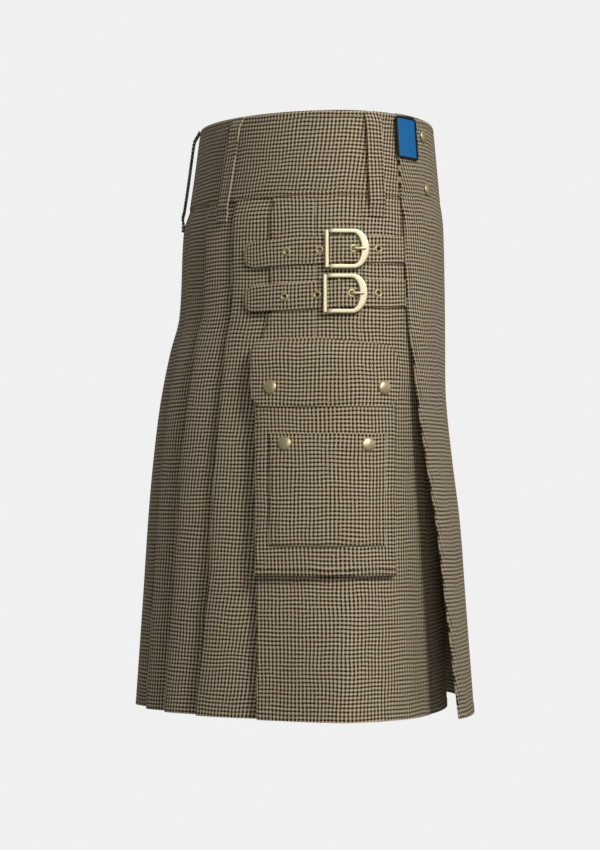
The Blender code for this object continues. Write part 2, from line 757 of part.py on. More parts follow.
def prong_mesh():
    """The prong, from beside the pin up through the eyelet and onto the rim."""
    low = -BUCKLE_PIN_DROP
    high = BUCKLE_THICK + PRONG_RADIUS + SEAM_GAP
    root = BUCKLE_PIN_ALONG + BUCKLE_PIN_RADIUS + SEAM_GAP
    route = ((root, low), (0.0028, low), (0.0040, low + 0.0012), (0.0042, high - 0.0016),
             (0.0061, high), (0.0110, high), (0.0155, high), (0.0165, high))
    path = [Vector((x, 0, z)) for x, z in route]
    sizes = [(PRONG_RADIUS, PRONG_RADIUS * 1.15)] * (len(route) - 1) + [(0.0005, 0.0006)]
    mesh = swept("prong", path, sizes, 8)
    mesh.shade_smooth()
    mesh.set_sharp_from_angle(angle=math.radians(50))
    return mesh


def make_fastenings(hand_name, hand):
    """Straps, eyelets, buckles and prongs of one side."""
    for strap in STRAPS:
        make_strap(hand_name, hand, strap)
        for number, forward in enumerate(strap.eyelets, 1):
            piece = link_object(f"eyelet_{hand_name}_{strap.name}_{number}", eyelet, brass)
            piece.matrix_world = strap_frame(strap, forward, hand, STRAP_CLOTH)
        place = surface_frame(strap_height(strap, strap.buckle), strap.buckle, hand, BUCKLE_LIFT)
        link_object(f"buckle_{hand_name}_{strap.name}", buckle, brass).matrix_world = place
        link_object(f"prong_{hand_name}_{strap.name}", prong, brass).matrix_world = place


def make_pocket(hand_name, hand):
    """A bellows pocket: front, bottom and two sides of cloth, open at the top."""
    skin = POCKET_CLOTH
    outer_lift = (LAY_GAP, POCKET_DEPTH * 0.55, POCKET_DEPTH * 0.92, POCKET_DEPTH)
    inner_lift = (LAY_GAP, POCKET_DEPTH * 0.50, POCKET_DEPTH * 0.92 - skin, POCKET_DEPTH - skin)
    middle_columns = spread(POCKET_REAR, POCKET_FRONT, POCKET_STEPS)[1:-1]
    middle_rows = spread(POCKET_BOTTOM, POCKET_TOP, 5)[1:]

    def grid(inset, lifts):
        columns = [(POCKET_REAR + inset + edge, lift) for edge, lift in zip(POCKET_RIM, lifts)]
        columns += [(forward, lifts[-1]) for forward in middle_columns]
        columns += [(POCKET_FRONT - inset - edge, lift)
                    for edge, lift in reversed(list(zip(POCKET_RIM, lifts)))]
        rows = [(POCKET_BOTTOM + inset + edge, lift) for edge, lift in zip(POCKET_RIM, lifts)]
        rows += [(height, lifts[-1]) for height in middle_rows]
        return [[side_point(height, forward, hand, min(row_lift, column_lift))
                 for forward, column_lift in columns] for height, row_lift in rows]

    cloth_wall(f"pocket_{hand_name}", grid(0.0, outer_lift), grid(skin, inner_lift), check_cloth)


def make_patch(hand_name, hand):
    """The small patch pocket sewn flat on the cargo pocket."""
    columns = spread(PATCH_REAR, PATCH_FRONT, PATCH_STEPS)
    rows = spread(PATCH_BOTTOM, PATCH_TOP, 4)
    under = FLAP_OVER
    inner = [[side_point(height, forward, hand, under) for forward in columns] for height in rows]
    outer = [[side_point(height, forward, hand, under + POCKET_CLOTH) for forward in columns]
             for height in rows]
    cloth_wall(f"patch_pocket_{hand_name}", outer, inner, check_cloth)


def make_flap(hand_name, hand):
    """The pocket's flap: sewn to the panel above the pocket, then over the pocket's mouth."""
    columns = spread(FLAP_REAR, FLAP_FRONT, FLAP_STEPS)
    outer = []
    inner = []
    for share, lift in FLAP_LIFTS:
        low = []
        high = []
        for forward in columns:
            from_end = min(forward - FLAP_REAR, FLAP_FRONT - forward)
            bottom = FLAP_BOTTOM + max(0.0, FLAP_CHAMFER - from_end) * 0.9
            sink = FLAP_TOP_DROP * max(0.0, forward / FLAP_FRONT)
            top = FLAP_TOP - sink - max(0.0, FLAP_TOP_CHAMFER - from_end) * 0.8
            height = bottom + (top - bottom) * share
            low.append(side_point(height, forward, hand, lift))
            high.append(side_point(height, forward, hand, lift + POCKET_CLOTH))
        inner.append(low)
        outer.append(high)
    cloth_wall(f"pocket_flap_{hand_name}", outer, inner, check_cloth)


def make_pocket_snaps(hand_name, hand):
    """Two snaps on the flap and two on the patch pocket."""
    for place, (forward, height) in POCKET_SNAPS.items():
        piece = link_object(f"snap_{place}_{hand_name}", snap, brass)
        piece.matrix_world = surface_frame(height, forward, hand, ON_POCKET)


def make_band_trim():
    """The two snaps that close the lap, and the small plain tab behind them."""
    lap_face = BAND_PROUD + LAP_RISE
    for name, height in zip(("upper", "lower"), BAND_SNAP_HEIGHTS):
        here = angle_point(height, BAND_SNAP_ANGLE, lap_face + LAY_GAP + 0.0002)
        beyond = angle_point(height, BAND_SNAP_ANGLE, lap_face + 0.01)
        above = angle_point(height + 0.01, BAND_SNAP_ANGLE, lap_face + LAY_GAP + 0.0002)
        out = (beyond - here).normalized()
        up = (above - here).normalized()
        along = up.cross(out).normalized()
        out = along.cross(up)
        piece = link_object(f"snap_waist_{name}", snap, brass)
        piece.matrix_world = Matrix.Translation(here) @ Matrix((along, up, out)).transposed().to_4x4()
    middle_height = KILT_LENGTH - 0.002 - TAB_HEIGHT / 2
    speed = (at_angle(middle_height, TAB_ANGLE + 1, "base") - at_angle(middle_height, TAB_ANGLE - 1, "base"))
    half = TAB_WIDTH / speed.length
    turns = spread(TAB_ANGLE - half, TAB_ANGLE + half, 6)
    rows = spread(middle_height - TAB_HEIGHT / 2, middle_height + TAB_HEIGHT / 2, 2)
    under = lap_face + LAY_GAP
    inner = [[angle_point(height, turn, under) for turn in turns] for height in rows]
    outer = [[angle_point(height, turn, under + TAB_CLOTH) for turn in turns] for height in rows]
    cloth_wall("waist_tab", outer, inner, tab_cloth)


clear_scene()
kilt = bpy.data.collections.new("utility_kilt")
cutters = bpy.data.collections.new("cutters")
bpy.context.scene.collection.children.link(kilt)
bpy.context.scene.collection.children.link(cutters)
check_cloth = make_material("check_cloth", (0.36, 0.30, 0.21), 0.9, 0.0)
tab_cloth = make_material("tab_cloth", (0.02, 0.17, 0.36), 0.7, 0.0)
brass = make_material("pale_brass", (0.80, 0.70, 0.42), 0.28, 1.0)
eyelet = eyelet_mesh()
snap = snap_mesh()
buckle = buckle_mesh()
prong = prong_mesh()
make_waistband()
make_apron()
make_under_apron()
make_side_panel("side_panel_right", 1)
make_side_panel("side_panel_left", -1)
make_pleats()
make_belt_loops()
for side_name, side_hand in (("right", 1), ("left", -1)):
    make_fastenings(side_name, side_hand)
    make_pocket(side_name, side_hand)
    make_patch(side_name, side_hand)
    make_flap(side_name, side_hand)
    make_pocket_snaps(side_name, side_hand)
make_band_trim()
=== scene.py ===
"""The looks of a checked utility kilt, built round its fixed frame and laid out as an add-on."""
import math
from collections import namedtuple

import bmesh
import bpy
from bpy.props import FloatProperty, FloatVectorProperty, PointerProperty
from mathutils import Matrix, Vector


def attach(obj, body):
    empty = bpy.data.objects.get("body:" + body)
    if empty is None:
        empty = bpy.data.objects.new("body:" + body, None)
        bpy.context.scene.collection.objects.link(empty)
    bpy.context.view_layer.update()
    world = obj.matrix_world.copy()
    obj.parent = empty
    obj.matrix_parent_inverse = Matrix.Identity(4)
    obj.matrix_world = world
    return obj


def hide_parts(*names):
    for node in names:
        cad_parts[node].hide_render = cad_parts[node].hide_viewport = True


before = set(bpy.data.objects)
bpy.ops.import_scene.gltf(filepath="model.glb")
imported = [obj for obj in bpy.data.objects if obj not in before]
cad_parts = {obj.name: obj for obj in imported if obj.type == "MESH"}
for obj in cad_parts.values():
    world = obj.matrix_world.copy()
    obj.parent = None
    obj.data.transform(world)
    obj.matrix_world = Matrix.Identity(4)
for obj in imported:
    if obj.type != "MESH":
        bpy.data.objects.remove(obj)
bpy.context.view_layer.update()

bl_info = {
    "name": "Utility Kilt",
    "version": (1, 0, 0),
    "blender": (4, 5, 0),
    "location": "3D View > Sidebar > Kilt",
    "description": "Dresses the kilt's solids with pleated check cloth, stitching and brass fittings",
    "category": "Object",
}

BODY = "root"
SIDES = (("right", 1), ("left", -1))

KILT_LENGTH = 0.610
BAND_HEIGHT = 0.085
BAND_BOTTOM = KILT_LENGTH - BAND_HEIGHT
WAIST_LEVEL = KILT_LENGTH - BAND_HEIGHT / 2
SEAM_GAP = 0.0003
LAY_GAP = 0.0004
CLOTH = 0.0016
BAND_CLOTH = 0.0030
BAND_PROUD = 0.0008
LAP_RISE = 0.0034
STRAP_CLOTH = 0.0020
APRON_SIDE_RISE = 0.0046

# Plan of the cloth at a height above the hem: the widest point's place forward of the waist axis,
# the half width, the reaches forward and back, and how square each quarter of the plan is
Section = namedtuple(
    "Section", "height middle side under_front front back under_square apron_square back_square")
SECTIONS = (
    Section(0.000, 0.0230, 0.2090, 0.1370, 0.1620, 0.1940, 1.85, 3.50, 1.68),
    Section(0.110, 0.0230, 0.2000, 0.1335, 0.1545, 0.1865, 1.90, 3.15, 1.69),
    Section(0.195, 0.0225, 0.1920, 0.1315, 0.1490, 0.1810, 1.95, 2.85, 1.71),
    Section(0.259, 0.0220, 0.1860, 0.1300, 0.1415, 0.1755, 2.00, 2.65, 1.73),
    Section(0.323, 0.0215, 0.1800, 0.1295, 0.1355, 0.1675, 2.10, 2.45, 1.75),
    Section(0.376, 0.0210, 0.1755, 0.1300, 0.1350, 0.1570, 2.20, 2.30, 1.77),
    Section(0.410, 0.0210, 0.1730, 0.1304, 0.1350, 0.1480, 2.25, 2.25, 1.78),
    Section(0.505, 0.0200, 0.1680, 0.1286, 0.1334, 0.1430, 2.15, 2.15, 1.80),
    Section(0.525, 0.0200, 0.1655, 0.1264, 0.1312, 0.1365, 2.10, 2.10, 1.81),
    Section(0.610, 0.0200, 0.1620, 0.1186, 0.1230, 0.1245, 2.05, 2.05, 1.82),
)

# Where a vertical edge runs: its angle from the front at four heights, in degrees
Edge = namedtuple("Edge", "yoke opening low hem")
EDGE_HEIGHTS = (0.410, 0.355, 0.140, 0.000)
PANEL_REAR = Edge(117.1, 120.4, 118.2, 117.1)
PLEAT_EDGES = (
    PANEL_REAR,
    Edge(133.6, 132.8, 133.9, 136.5),
    Edge(148.6, 148.1, 148.8, 149.6),
    Edge(163.5, 163.0, 161.8, 161.0),
)
APRON_FREE_EDGE = Edge(55.8, 52.0, 46.5, 42.5)
APRON_SEWN_EDGE = Edge(56.0, 55.0, 52.0, 50.0)
UNDER_APRON_SEAM = 38.0
UNDER_APRON_FREE = 44.0
PANEL_TUCK = 5.0

PLEAT_UNDERLAY_YOKE = 0.018
PLEAT_UNDERLAY_HEM = 0.026
PLEAT_PITCH_YOKE = 0.0030
PLEAT_PITCH_HEM = 0.0125
PLEAT_FOLD_RADIUS = 0.0012
PLEAT_FACE_STEPS = 10

LOOP_WIDTH = 0.016
LOOP_CLOTH = 0.0020
LOOP_CLEAR = 0.0043
LOOP_ANGLES = {
    "belt_loop_back": (180.0, 180.0),
    "belt_loop_right_rear": (135.5, 138.5),
    "belt_loop_right_front": (71.6, 71.5),
    "belt_loop_left_front": (-71.6, -71.5),
    "belt_loop_left_rear": (-135.5, -138.5),
}
LoopLift = namedtuple("LoopLift", "height lift")
LOOP_TABLE = (
    LoopLift(0.5030, LAY_GAP),
    LoopLift(0.5060, LAY_GAP + 0.0001),
    LoopLift(0.5110, LAY_GAP + 0.0010),
    LoopLift(0.5160, BAND_PROUD + LOOP_CLEAR - 0.0010),
    LoopLift(0.5200, BAND_PROUD + LOOP_CLEAR),
    LoopLift(0.5500, BAND_PROUD + LOOP_CLEAR + 0.0004),
    LoopLift(0.5800, BAND_PROUD + LOOP_CLEAR + 0.0004),
    LoopLift(0.5985, BAND_PROUD + LOOP_CLEAR),
    LoopLift(0.6035, BAND_PROUD + SEAM_GAP + 0.0022),
    LoopLift(0.6060, BAND_PROUD + SEAM_GAP + 0.0008),
    LoopLift(0.6095, BAND_PROUD + SEAM_GAP),
)
BAND_INNER_END = -30.0
BAND_OUTER_END = 416.0
BAND_LAP_START = 295.0
BAND_LAP_FULL = 303.0
BAND_ROWS = (BAND_BOTTOM + 0.0055, KILT_LENGTH - 0.0060)

STRAP_WIDTH = 0.027
STRAP_REAR = -0.0740
STRAP_FRONT = 0.0880
STRAP_END_RADIUS = 0.010
Strap = namedtuple("Strap", "name rear_height front_height buckle eyelets")
STRAPS = (
    Strap("upper", 0.4660, 0.4710, 0.0297, (-0.0315, 0.0008, 0.0337, 0.0584)),
    Strap("lower", 0.4205, 0.4265, 0.0280, (-0.0340, -0.0013, 0.0320, 0.0582)),
)
StrapLift = namedtuple("StrapLift", "along lift")
STRAP_LIFTS = (
    StrapLift(-0.1100, LAY_GAP),
    StrapLift(-0.0380, LAY_GAP),
    StrapLift(-0.0225, 0.0010),
    StrapLift(-0.0110, 0.0038),
    StrapLift(0.0040, 0.0033),
    StrapLift(0.0095, 0.0020),
    StrapLift(0.0160, 0.0014),
    StrapLift(0.0300, 0.0006),
    StrapLift(0.0700, LAY_GAP),
)

BUCKLE_HALF = 0.020
BUCKLE_ARM = 0.0044
BUCKLE_RIM = 0.0080
BUCKLE_THICK = 0.0030
BUCKLE_LIFT = 0.0040
BUCKLE_PIN_ALONG = -0.0085
BUCKLE_PIN_RADIUS = 0.0011
BUCKLE_PIN_DROP = 0.0020
BUCKLE_BAR_ALONG = -0.0225
BUCKLE_BAR_RADIUS = 0.0017
BUCKLE_BAR_DROP = 0.0010
PRONG_RADIUS = 0.0011
EYELET_OUTER = 0.0041
EYELET_HOLE = 0.00225
EYELET_BARREL = 0.0028
STRAP_HOLE = 0.0031

POCKET_REAR = -0.0615
POCKET_FRONT = 0.0722
POCKET_BOTTOM = 0.1425
POCKET_TOP = 0.3580
POCKET_DEPTH = 0.0090
POCKET_CLOTH = 0.0015
FLAP_REAR = -0.0632
FLAP_FRONT = 0.0733
FLAP_TOP = 0.3800
FLAP_TOP_DROP = 0.0070
FLAP_BOTTOM = 0.3110
FLAP_CHAMFER = 0.0095
FLAP_TOP_CORNER = 0.006
PATCH_REAR = -0.0455
PATCH_FRONT = 0.0602
PATCH_BOTTOM = 0.1730
PATCH_TOP = 0.2845
PATCH_HEM = 0.0182
PATCH_FULL = 0.0006
SNAP_RADIUS = 0.0068
SNAP_HEIGHT = 0.0030
SNAP_RIM = 0.0009
SNAP_SEAT = 0.0007
SNAP_PLACES = {
    "flap_rear": (-0.0437, 0.3310),
    "flap_front": (0.0592, 0.3300),
    "patch_rear": (-0.0300, 0.2745),
    "patch_front": (0.0443, 0.2735),
}
FlapLift = namedtuple("FlapLift", "share lift")
FLAP_OVER = POCKET_DEPTH + LAY_GAP
FLAP_TABLE = (
    FlapLift(0.0, FLAP_OVER + 0.0002),
    FlapLift(0.25, FLAP_OVER + 0.0005),
    FlapLift(0.50, FLAP_OVER + 0.0006),
    FlapLift(0.79, FLAP_OVER + 0.0002),
    FlapLift(0.92, 0.0056),
    FlapLift(1.0, LAY_GAP),
)

TAB_ANGLE = 49.8
TAB_WIDTH = 0.036
TAB_HEIGHT = 0.044
TAB_CLOTH = 0.0012
TAB_CORNER = 0.005
TAB_BORDER = 0.0028
TAB_STEPS = 24
TAB_MIDDLE = KILT_LENGTH - 0.002 - TAB_HEIGHT / 2
BAND_SNAP_ANGLE = 35.0
BAND_SNAP_HEIGHTS = (0.592, 0.537)

# Stitched tucks of the yoke: their places forward of the waist axis, and the step behind each
YOKE_TUCKS = (-0.0040, 0.0420)
TUCK_DEPTH = 0.0013
TUCK_REACH = 0.0070
TUCK_BOTTOM = 0.345
TUCK_FADE = 0.030
TUCK_TOP_FADE = 0.010
TUCK_COLUMNS = (0.0010, 0.0001, -0.0001, -0.0012, -0.0030)

# Sharp soft ridges where a side panel hangs free under its pocket
Ridge = namedtuple("Ridge", "top_forward hem_forward top_height rise spread softness")
PANEL_RIDGES = (
    Ridge(0.0263, 0.0234, 0.150, 0.0065, 0.060, 0.0015),
    Ridge(0.0900, 0.0878, 0.190, 0.0055, 0.034, 0.0015),
)

# Sewn rows: how far they stand in from an edge, in metres, or in degrees round the plan
HEM_ROW = 0.0068
APRON_ROW_TURN = 2.2
POCKET_ROW = 0.0055
PATCH_ROWS = (0.0022, 0.0078)
FLAP_ROW = 0.0045
LOOP_ROW = 0.66
STRAP_ROW = 0.80
PLEAT_ROW = 0.0022

# The check starts at an anchor column's number times this, so it breaks at seams and folds
GRAIN_STEP = 0.0173
CHECK_THREADS = 8
WALE_CHANGES = 9.0
GRAIN_DRIFT = 0.0045
CAMERA_DISTANCE = 2.71
CAMERA_FORWARD = -0.0192
CAMERA_ABOVE_HEM = 0.238
CAMERA_PITCH = 1.24
CAMERA_LENS = 107.7
FLOOR_DROP = 0.50
AMBIENT = 0.13
Lamp = namedtuple("Lamp", "name place size power")
LAMPS = (
    Lamp("key", (-2.7, -1.45, 1.5), 0.75, 50.0),
    Lamp("fill", (-2.95, 0.0, 0.50), 1.4, 10.0),
    Lamp("front", (-0.3, -3.0, 0.6), 1.4, 4.0),
    Lamp("back", (1.6, 2.4, 0.7), 2.0, 4.0),
)


def linear(red, green, blue):
    """A colour of 0 to 255 display values as linear light."""
    turned = []
    for value in (red, green, blue):
        share = value / 255
        turned.append(share / 12.92 if share <= 0.04045 else ((share + 0.055) / 1.055) ** 2.4)
    return tuple(turned)


class KiltSizes(bpy.types.PropertyGroup):
    """Sizes of the finish that a user may change."""

    check: FloatProperty(
        name="Check", description="One repeat of the check", default=0.0040, unit="LENGTH")
    stitch: FloatProperty(
        name="Stitch", description="Length of one stitch", default=0.0027, unit="LENGTH")
    stitch_gap: FloatProperty(
        name="Stitch gap", description="Space between two stitches", default=0.0012, unit="LENGTH")
    thread: FloatProperty(
        name="Thread", description="Half the width of the sewing thread", default=0.00030, unit="LENGTH")


class KiltColours(bpy.types.PropertyGroup):
    """Colours of the finish that a user may change."""

    light_yarn: FloatVectorProperty(
        name="Light yarn", description="The check's light yarn", subtype="COLOR",
        default=linear(226, 209, 178))
    dark_yarn: FloatVectorProperty(
        name="Dark yarn", description="The check's dark yarn", subtype="COLOR",
        default=linear(66, 49, 21))
    thread: FloatVectorProperty(
        name="Sewing thread", description="The thread of every seam", subtype="COLOR",
        default=linear(70, 58, 42))
    pale_brass: FloatVectorProperty(
        name="Pale brass", description="Buckles and prongs", subtype="COLOR",
        default=linear(255, 244, 204))
    antique_brass: FloatVectorProperty(
        name="Antique brass", description="Snaps and eyelets", subtype="COLOR",
        default=linear(250, 232, 182))
    tab_ground: FloatVectorProperty(
        name="Tab ground", description="Ground of the waist tab", subtype="COLOR",
        default=linear(22, 128, 200))
    tab_edge: FloatVectorProperty(
        name="Tab edge", description="Border of the waist tab", subtype="COLOR",
        default=linear(16, 18, 22))
    studio: FloatVectorProperty(
        name="Studio", description="Floor and backdrop", subtype="COLOR", default=linear(240, 240, 240))


def smooth_table(rows, key, value, at):
    """Read a column of a table at a value of its key, on a smooth curve through the rows."""
    keys = [getattr(row, key) for row in rows]
    values = [getattr(row, value) for row in rows]
    if at <= keys[0]:
        return values[0]
    if at >= keys[-1]:
        return values[-1]
    slot = max(i for i, k in enumerate(keys[:-1]) if k <= at)
    slopes = []
    for i in (slot, slot + 1):
        low = max(i - 1, 0)
        high = min(i + 1, len(keys) - 1)
        slopes.append((values[high] - values[low]) / (keys[high] - keys[low]))
    span = keys[slot + 1] - keys[slot]
    t = (at - keys[slot]) / span
    h00 = 2 * t ** 3 - 3 * t ** 2 + 1
    h10 = t ** 3 - 2 * t ** 2 + t
    return (h00 * values[slot] + h10 * span * slopes[0]
            + (1 - h00) * values[slot + 1] + (t ** 3 - t ** 2) * span * slopes[1])


PLAN_CACHE = {}


def plan_row(height):
    """Every column of the section table at a height."""
    key = round(height, 6)
    if key not in PLAN_CACHE:
        PLAN_CACHE[key] = {
            column: smooth_table(SECTIONS, "height", column, height) for column in Section._fields[1:]}
    return PLAN_CACHE[key]


def edge_angle(edge, height):
    """The angle of a vertical edge at a height, straight between its four heights."""
    for i in range(len(EDGE_HEIGHTS) - 1):
        upper = EDGE_HEIGHTS[i]
        lower = EDGE_HEIGHTS[i + 1]
        if height >= upper:
            return edge[i]
        if height >= lower:
            return edge[i] + (edge[i + 1] - edge[i]) * (upper - height) / (upper - lower)
    return edge[-1]


def plan_sizes(height, layer, front):
    """Middle, reach, half width and squareness of one quarter of the plan."""
    row = plan_row(height)
    middle = row["middle"]
    side = row["side"]
    if not front:
        return middle, row["back"] + middle, side, row["back_square"]
    if layer == "base":
        return middle, row["under_front"] - middle, side, row["under_square"]
    reach = row["front"] - middle
    if layer == "tucked":
        return middle, reach - APRON_SIDE_RISE, side, row["apron_square"]
    return middle, reach, side + APRON_SIDE_RISE, row["apron_square"]


def at_angle(height, degrees, layer):
    """Plan point (forward, right) at an angle from the front, positive to the wearer's right."""
    turn = math.radians(degrees)
    middle, reach, side, square = plan_sizes(height, layer, math.cos(turn) >= 0)
    forward = math.copysign(abs(math.cos(turn)) ** (2 / square), math.cos(turn))
    right = math.copysign(abs(math.sin(turn)) ** (2 / square), math.sin(turn))
    return Vector((middle + reach * forward, side * right))


def at_forward(height, forward, hand, layer):
    """Plan point on one side, at a distance forward of the waist axis."""
    middle = plan_row(height)["middle"]
    middle, reach, side, square = plan_sizes(height, layer, forward >= middle)
    share = min(abs(forward - middle) / reach, 1.0)
    return Vector((forward, hand * side * (1 - share ** square) ** (1 / square)))


def pushed(before, here, after, offset):
    """A plan point moved outwards by an offset, square to the line through its neighbours."""
    run = (after - before).normalized()
    outward = Vector((run.y, -run.x))
    if outward.dot(here) < 0:
        outward = -outward
    return here + outward * offset


def to_world(plan, height):
    """Turn forward, right and height into the model's axes."""
    return Vector((-plan.y, -plan.x, height - WAIST_LEVEL))


def plan_point(height, degrees, offset, layer="base"):
    """A plan point by angle, moved out from the cloth's outer face."""
    step = 0.6
    here = at_angle(height, degrees, layer)
    before = at_angle(height, degrees - step, layer)
    after = at_angle(height, degrees + step, layer)
    return pushed(before, here, after, offset)


def angle_point(height, degrees, offset, layer="base"):
    """A point of the garment by angle, moved out from the cloth's outer face."""
    return to_world(plan_point(height, degrees, offset, layer), height)


def metres_per_degree(height, degrees, step=1.0):
    """How far the cloth runs round the plan in one degree."""
    after = at_angle(height, degrees + step, "base")
    before = at_angle(height, degrees - step, "base")
    return (after - before).length / (2 * step)


def turn_at(height, forward, layer):
    """The angle whose plan point lies at a distance forward of the waist axis."""
    low = 0.0
    high = 180.0
    for _ in range(32):
        middle = (low + high) / 2
        if at_angle(height, middle, layer).x > forward:
            low = middle
        else:
            high = middle
    return (low + high) / 2


def yoke_tuck(height, forward):
    """How deep the cloth lies behind the stitched tucks of the yoke."""
    fade = ease((height - TUCK_BOTTOM) / TUCK_FADE) * ease((BAND_BOTTOM - height) / TUCK_TOP_FADE)
    if fade == 0.0:
        return 0.0
    depth = 0.0
    for tuck in YOKE_TUCKS:
        behind = tuck - forward
        if behind >= 0:
            depth = max(depth, TUCK_DEPTH * math.exp(-behind / TUCK_REACH))
    return depth * fade


def side_layer(hand):
    """The left panel hangs from the apron's sewn edge, and the right one from the under apron."""
    return "base" if hand > 0 else "tucked"


def side_point(height, forward, hand, offset):
    """A point on a side panel by distance forward, moved out from the cloth's outer face."""
    step = 0.001
    layer = side_layer(hand)
    here = at_forward(height, forward, hand, layer)
    before = at_forward(height, forward - step, hand, layer)
    after = at_forward(height, forward + step, hand, layer)
    return to_world(pushed(before, here, after, offset), height)


def ease(t):
    """0 to 1 with soft ends."""
    t = min(max(t, 0.0), 1.0)
    return t * t * (3 - 2 * t)


def spread(low, high, count):
    """Evenly spaced numbers from low to high."""
    return [low + (high - low) * i / count for i in range(count + 1)]


def panel_ridge(height, forward):
    """How far a side panel's free lower part stands out along its soft ridges."""
    total = 0.0
    for ridge in PANEL_RIDGES:
        if height >= ridge.top_height:
            continue
        fall = 1 - height / ridge.top_height
        middle = ridge.top_forward + (ridge.hem_forward - ridge.top_forward) * fall
        away = math.hypot(forward - middle, ridge.softness) - ridge.softness
        total += ridge.rise * ease(fall) * max(0.0, 1 - away / ridge.spread)
    return total


def new_piece(name, mesh, material, nodes=()):
    """Link a finished mesh, let it ride on the frame and stand for its CAD nodes."""
    piece = bpy.data.objects.new(name, mesh)
    bpy.context.scene.collection.objects.link(piece)
    mesh.materials.append(material)
    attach(piece, BODY)
    if nodes:
        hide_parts(*nodes)
    return piece


def row_distances(points):
    """Distance along a row of points from its first one."""
    total = 0.0
    distances = [0.0]
    for before, after in zip(points, points[1:]):
        total += (after - before).length
        distances.append(total)
    return distances


def cloth_mesh(name, outer, inner, heights, anchors):
    """A closed cloth wall with its cut laid out in UV metres.

    heights gives each row's height, or the height of each of its points. anchors gives, for each
    column, the column whose grain stands upright.
    """
    shape = bmesh.new()
    uv_layer = shape.loops.layers.uv.new("cut")
    grids = [[[shape.verts.new(point) for point in row] for row in grid] for grid in (outer, inner)]
    rows = len(outer)
    columns = len(outer[0])
    places = {}
    for i in range(rows):
        distances = row_distances(outer[i])
        for j in range(columns):
            along = distances[j] - distances[anchors[j]] + anchors[j] * GRAIN_STEP
            upright = heights[i][j] if isinstance(heights[i], list) else heights[i]
            for grid in grids:
                places[grid[i][j]] = (along, upright)

    def add_face(corners):
        made = shape.faces.new(corners)
        made.smooth = True
        for loop in made.loops:
            loop[uv_layer].uv = places[loop.vert]

    for grid in grids:
        for i in range(rows - 1):
            for j in range(columns - 1):
                add_face((grid[i][j], grid[i][j + 1], grid[i + 1][j + 1], grid[i + 1][j]))
    rim = [(0, j) for j in range(columns)]
    rim += [(i, columns - 1) for i in range(1, rows)]
    rim += [(rows - 1, j) for j in range(columns - 2, -1, -1)]
    rim += [(i, 0) for i in range(rows - 2, 0, -1)]
    for here, there in zip(rim, rim[1:] + rim[:1]):
        add_face((grids[0][here[0]][here[1]], grids[0][there[0]][there[1]],
                  grids[1][there[0]][there[1]], grids[1][here[0]][here[1]]))
    bmesh.ops.recalc_face_normals(shape, faces=shape.faces)
    mesh = bpy.data.meshes.new(name)
    shape.to_mesh(mesh)
    shape.free()
    mesh.set_sharp_from_angle(angle=math.radians(48))
    return mesh


def cloth_piece(name, outer, inner, heights, node, anchors=None, material=None):
    """Make one cut piece of cloth that stands for its CAD solid."""
    columns = len(outer[0])
    anchors = anchors or [columns // 2] * columns
    mesh = cloth_mesh(name, outer, inner, heights, anchors)
    piece = new_piece(name, mesh, material or check_cloth(), [node])
    return piece


def node_tree(name):
    """A new material, its node tree and its Principled shader."""
    material = bpy.data.materials.new(name)
    material.use_nodes = True
    tree = material.node_tree
    return material, tree, tree.nodes["Principled BSDF"]


def maths(tree, operation, first, second=None):
    """A Math node on two inputs, each a socket or a number."""
    node = tree.nodes.new("ShaderNodeMath")
    node.operation = operation
    for socket, value in zip(node.inputs, (first, second)):
        if value is None:
            continue
        if isinstance(value, (int, float)):
            socket.default_value = value
        else:
            tree.links.new(value, socket)
    return node.outputs[0]


def noise_texture(tree, vector, scale, detail=None):
    """A noise texture read at a vector."""
    node = tree.nodes.new("ShaderNodeTexNoise")
    node.inputs["Scale"].default_value = scale
    if detail is not None:
        node.inputs["Detail"].default_value = detail
    tree.links.new(vector, node.inputs["Vector"])
    return node


def mixed_colour(tree, factor, first, second):
    """A colour between two others, by a factor."""
    mix = tree.nodes.new("ShaderNodeMix")
    mix.data_type = "RGBA"
    tree.links.new(factor, mix.inputs["Factor"])
    mix.inputs["A"].default_value = (*first, 1.0)
    mix.inputs["B"].default_value = (*second, 1.0)
    return mix.outputs["Result"]


def add_bump(tree, shader, height, strength, distance):
    """Let a height shape the shader's surface."""
    bump = tree.nodes.new("ShaderNodeBump")
    bump.inputs["Strength"].default_value = strength
    bump.inputs["Distance"].default_value = distance
    tree.links.new(height, bump.inputs["Height"])
    tree.links.new(bump.outputs["Normal"], shader.inputs["Normal"])


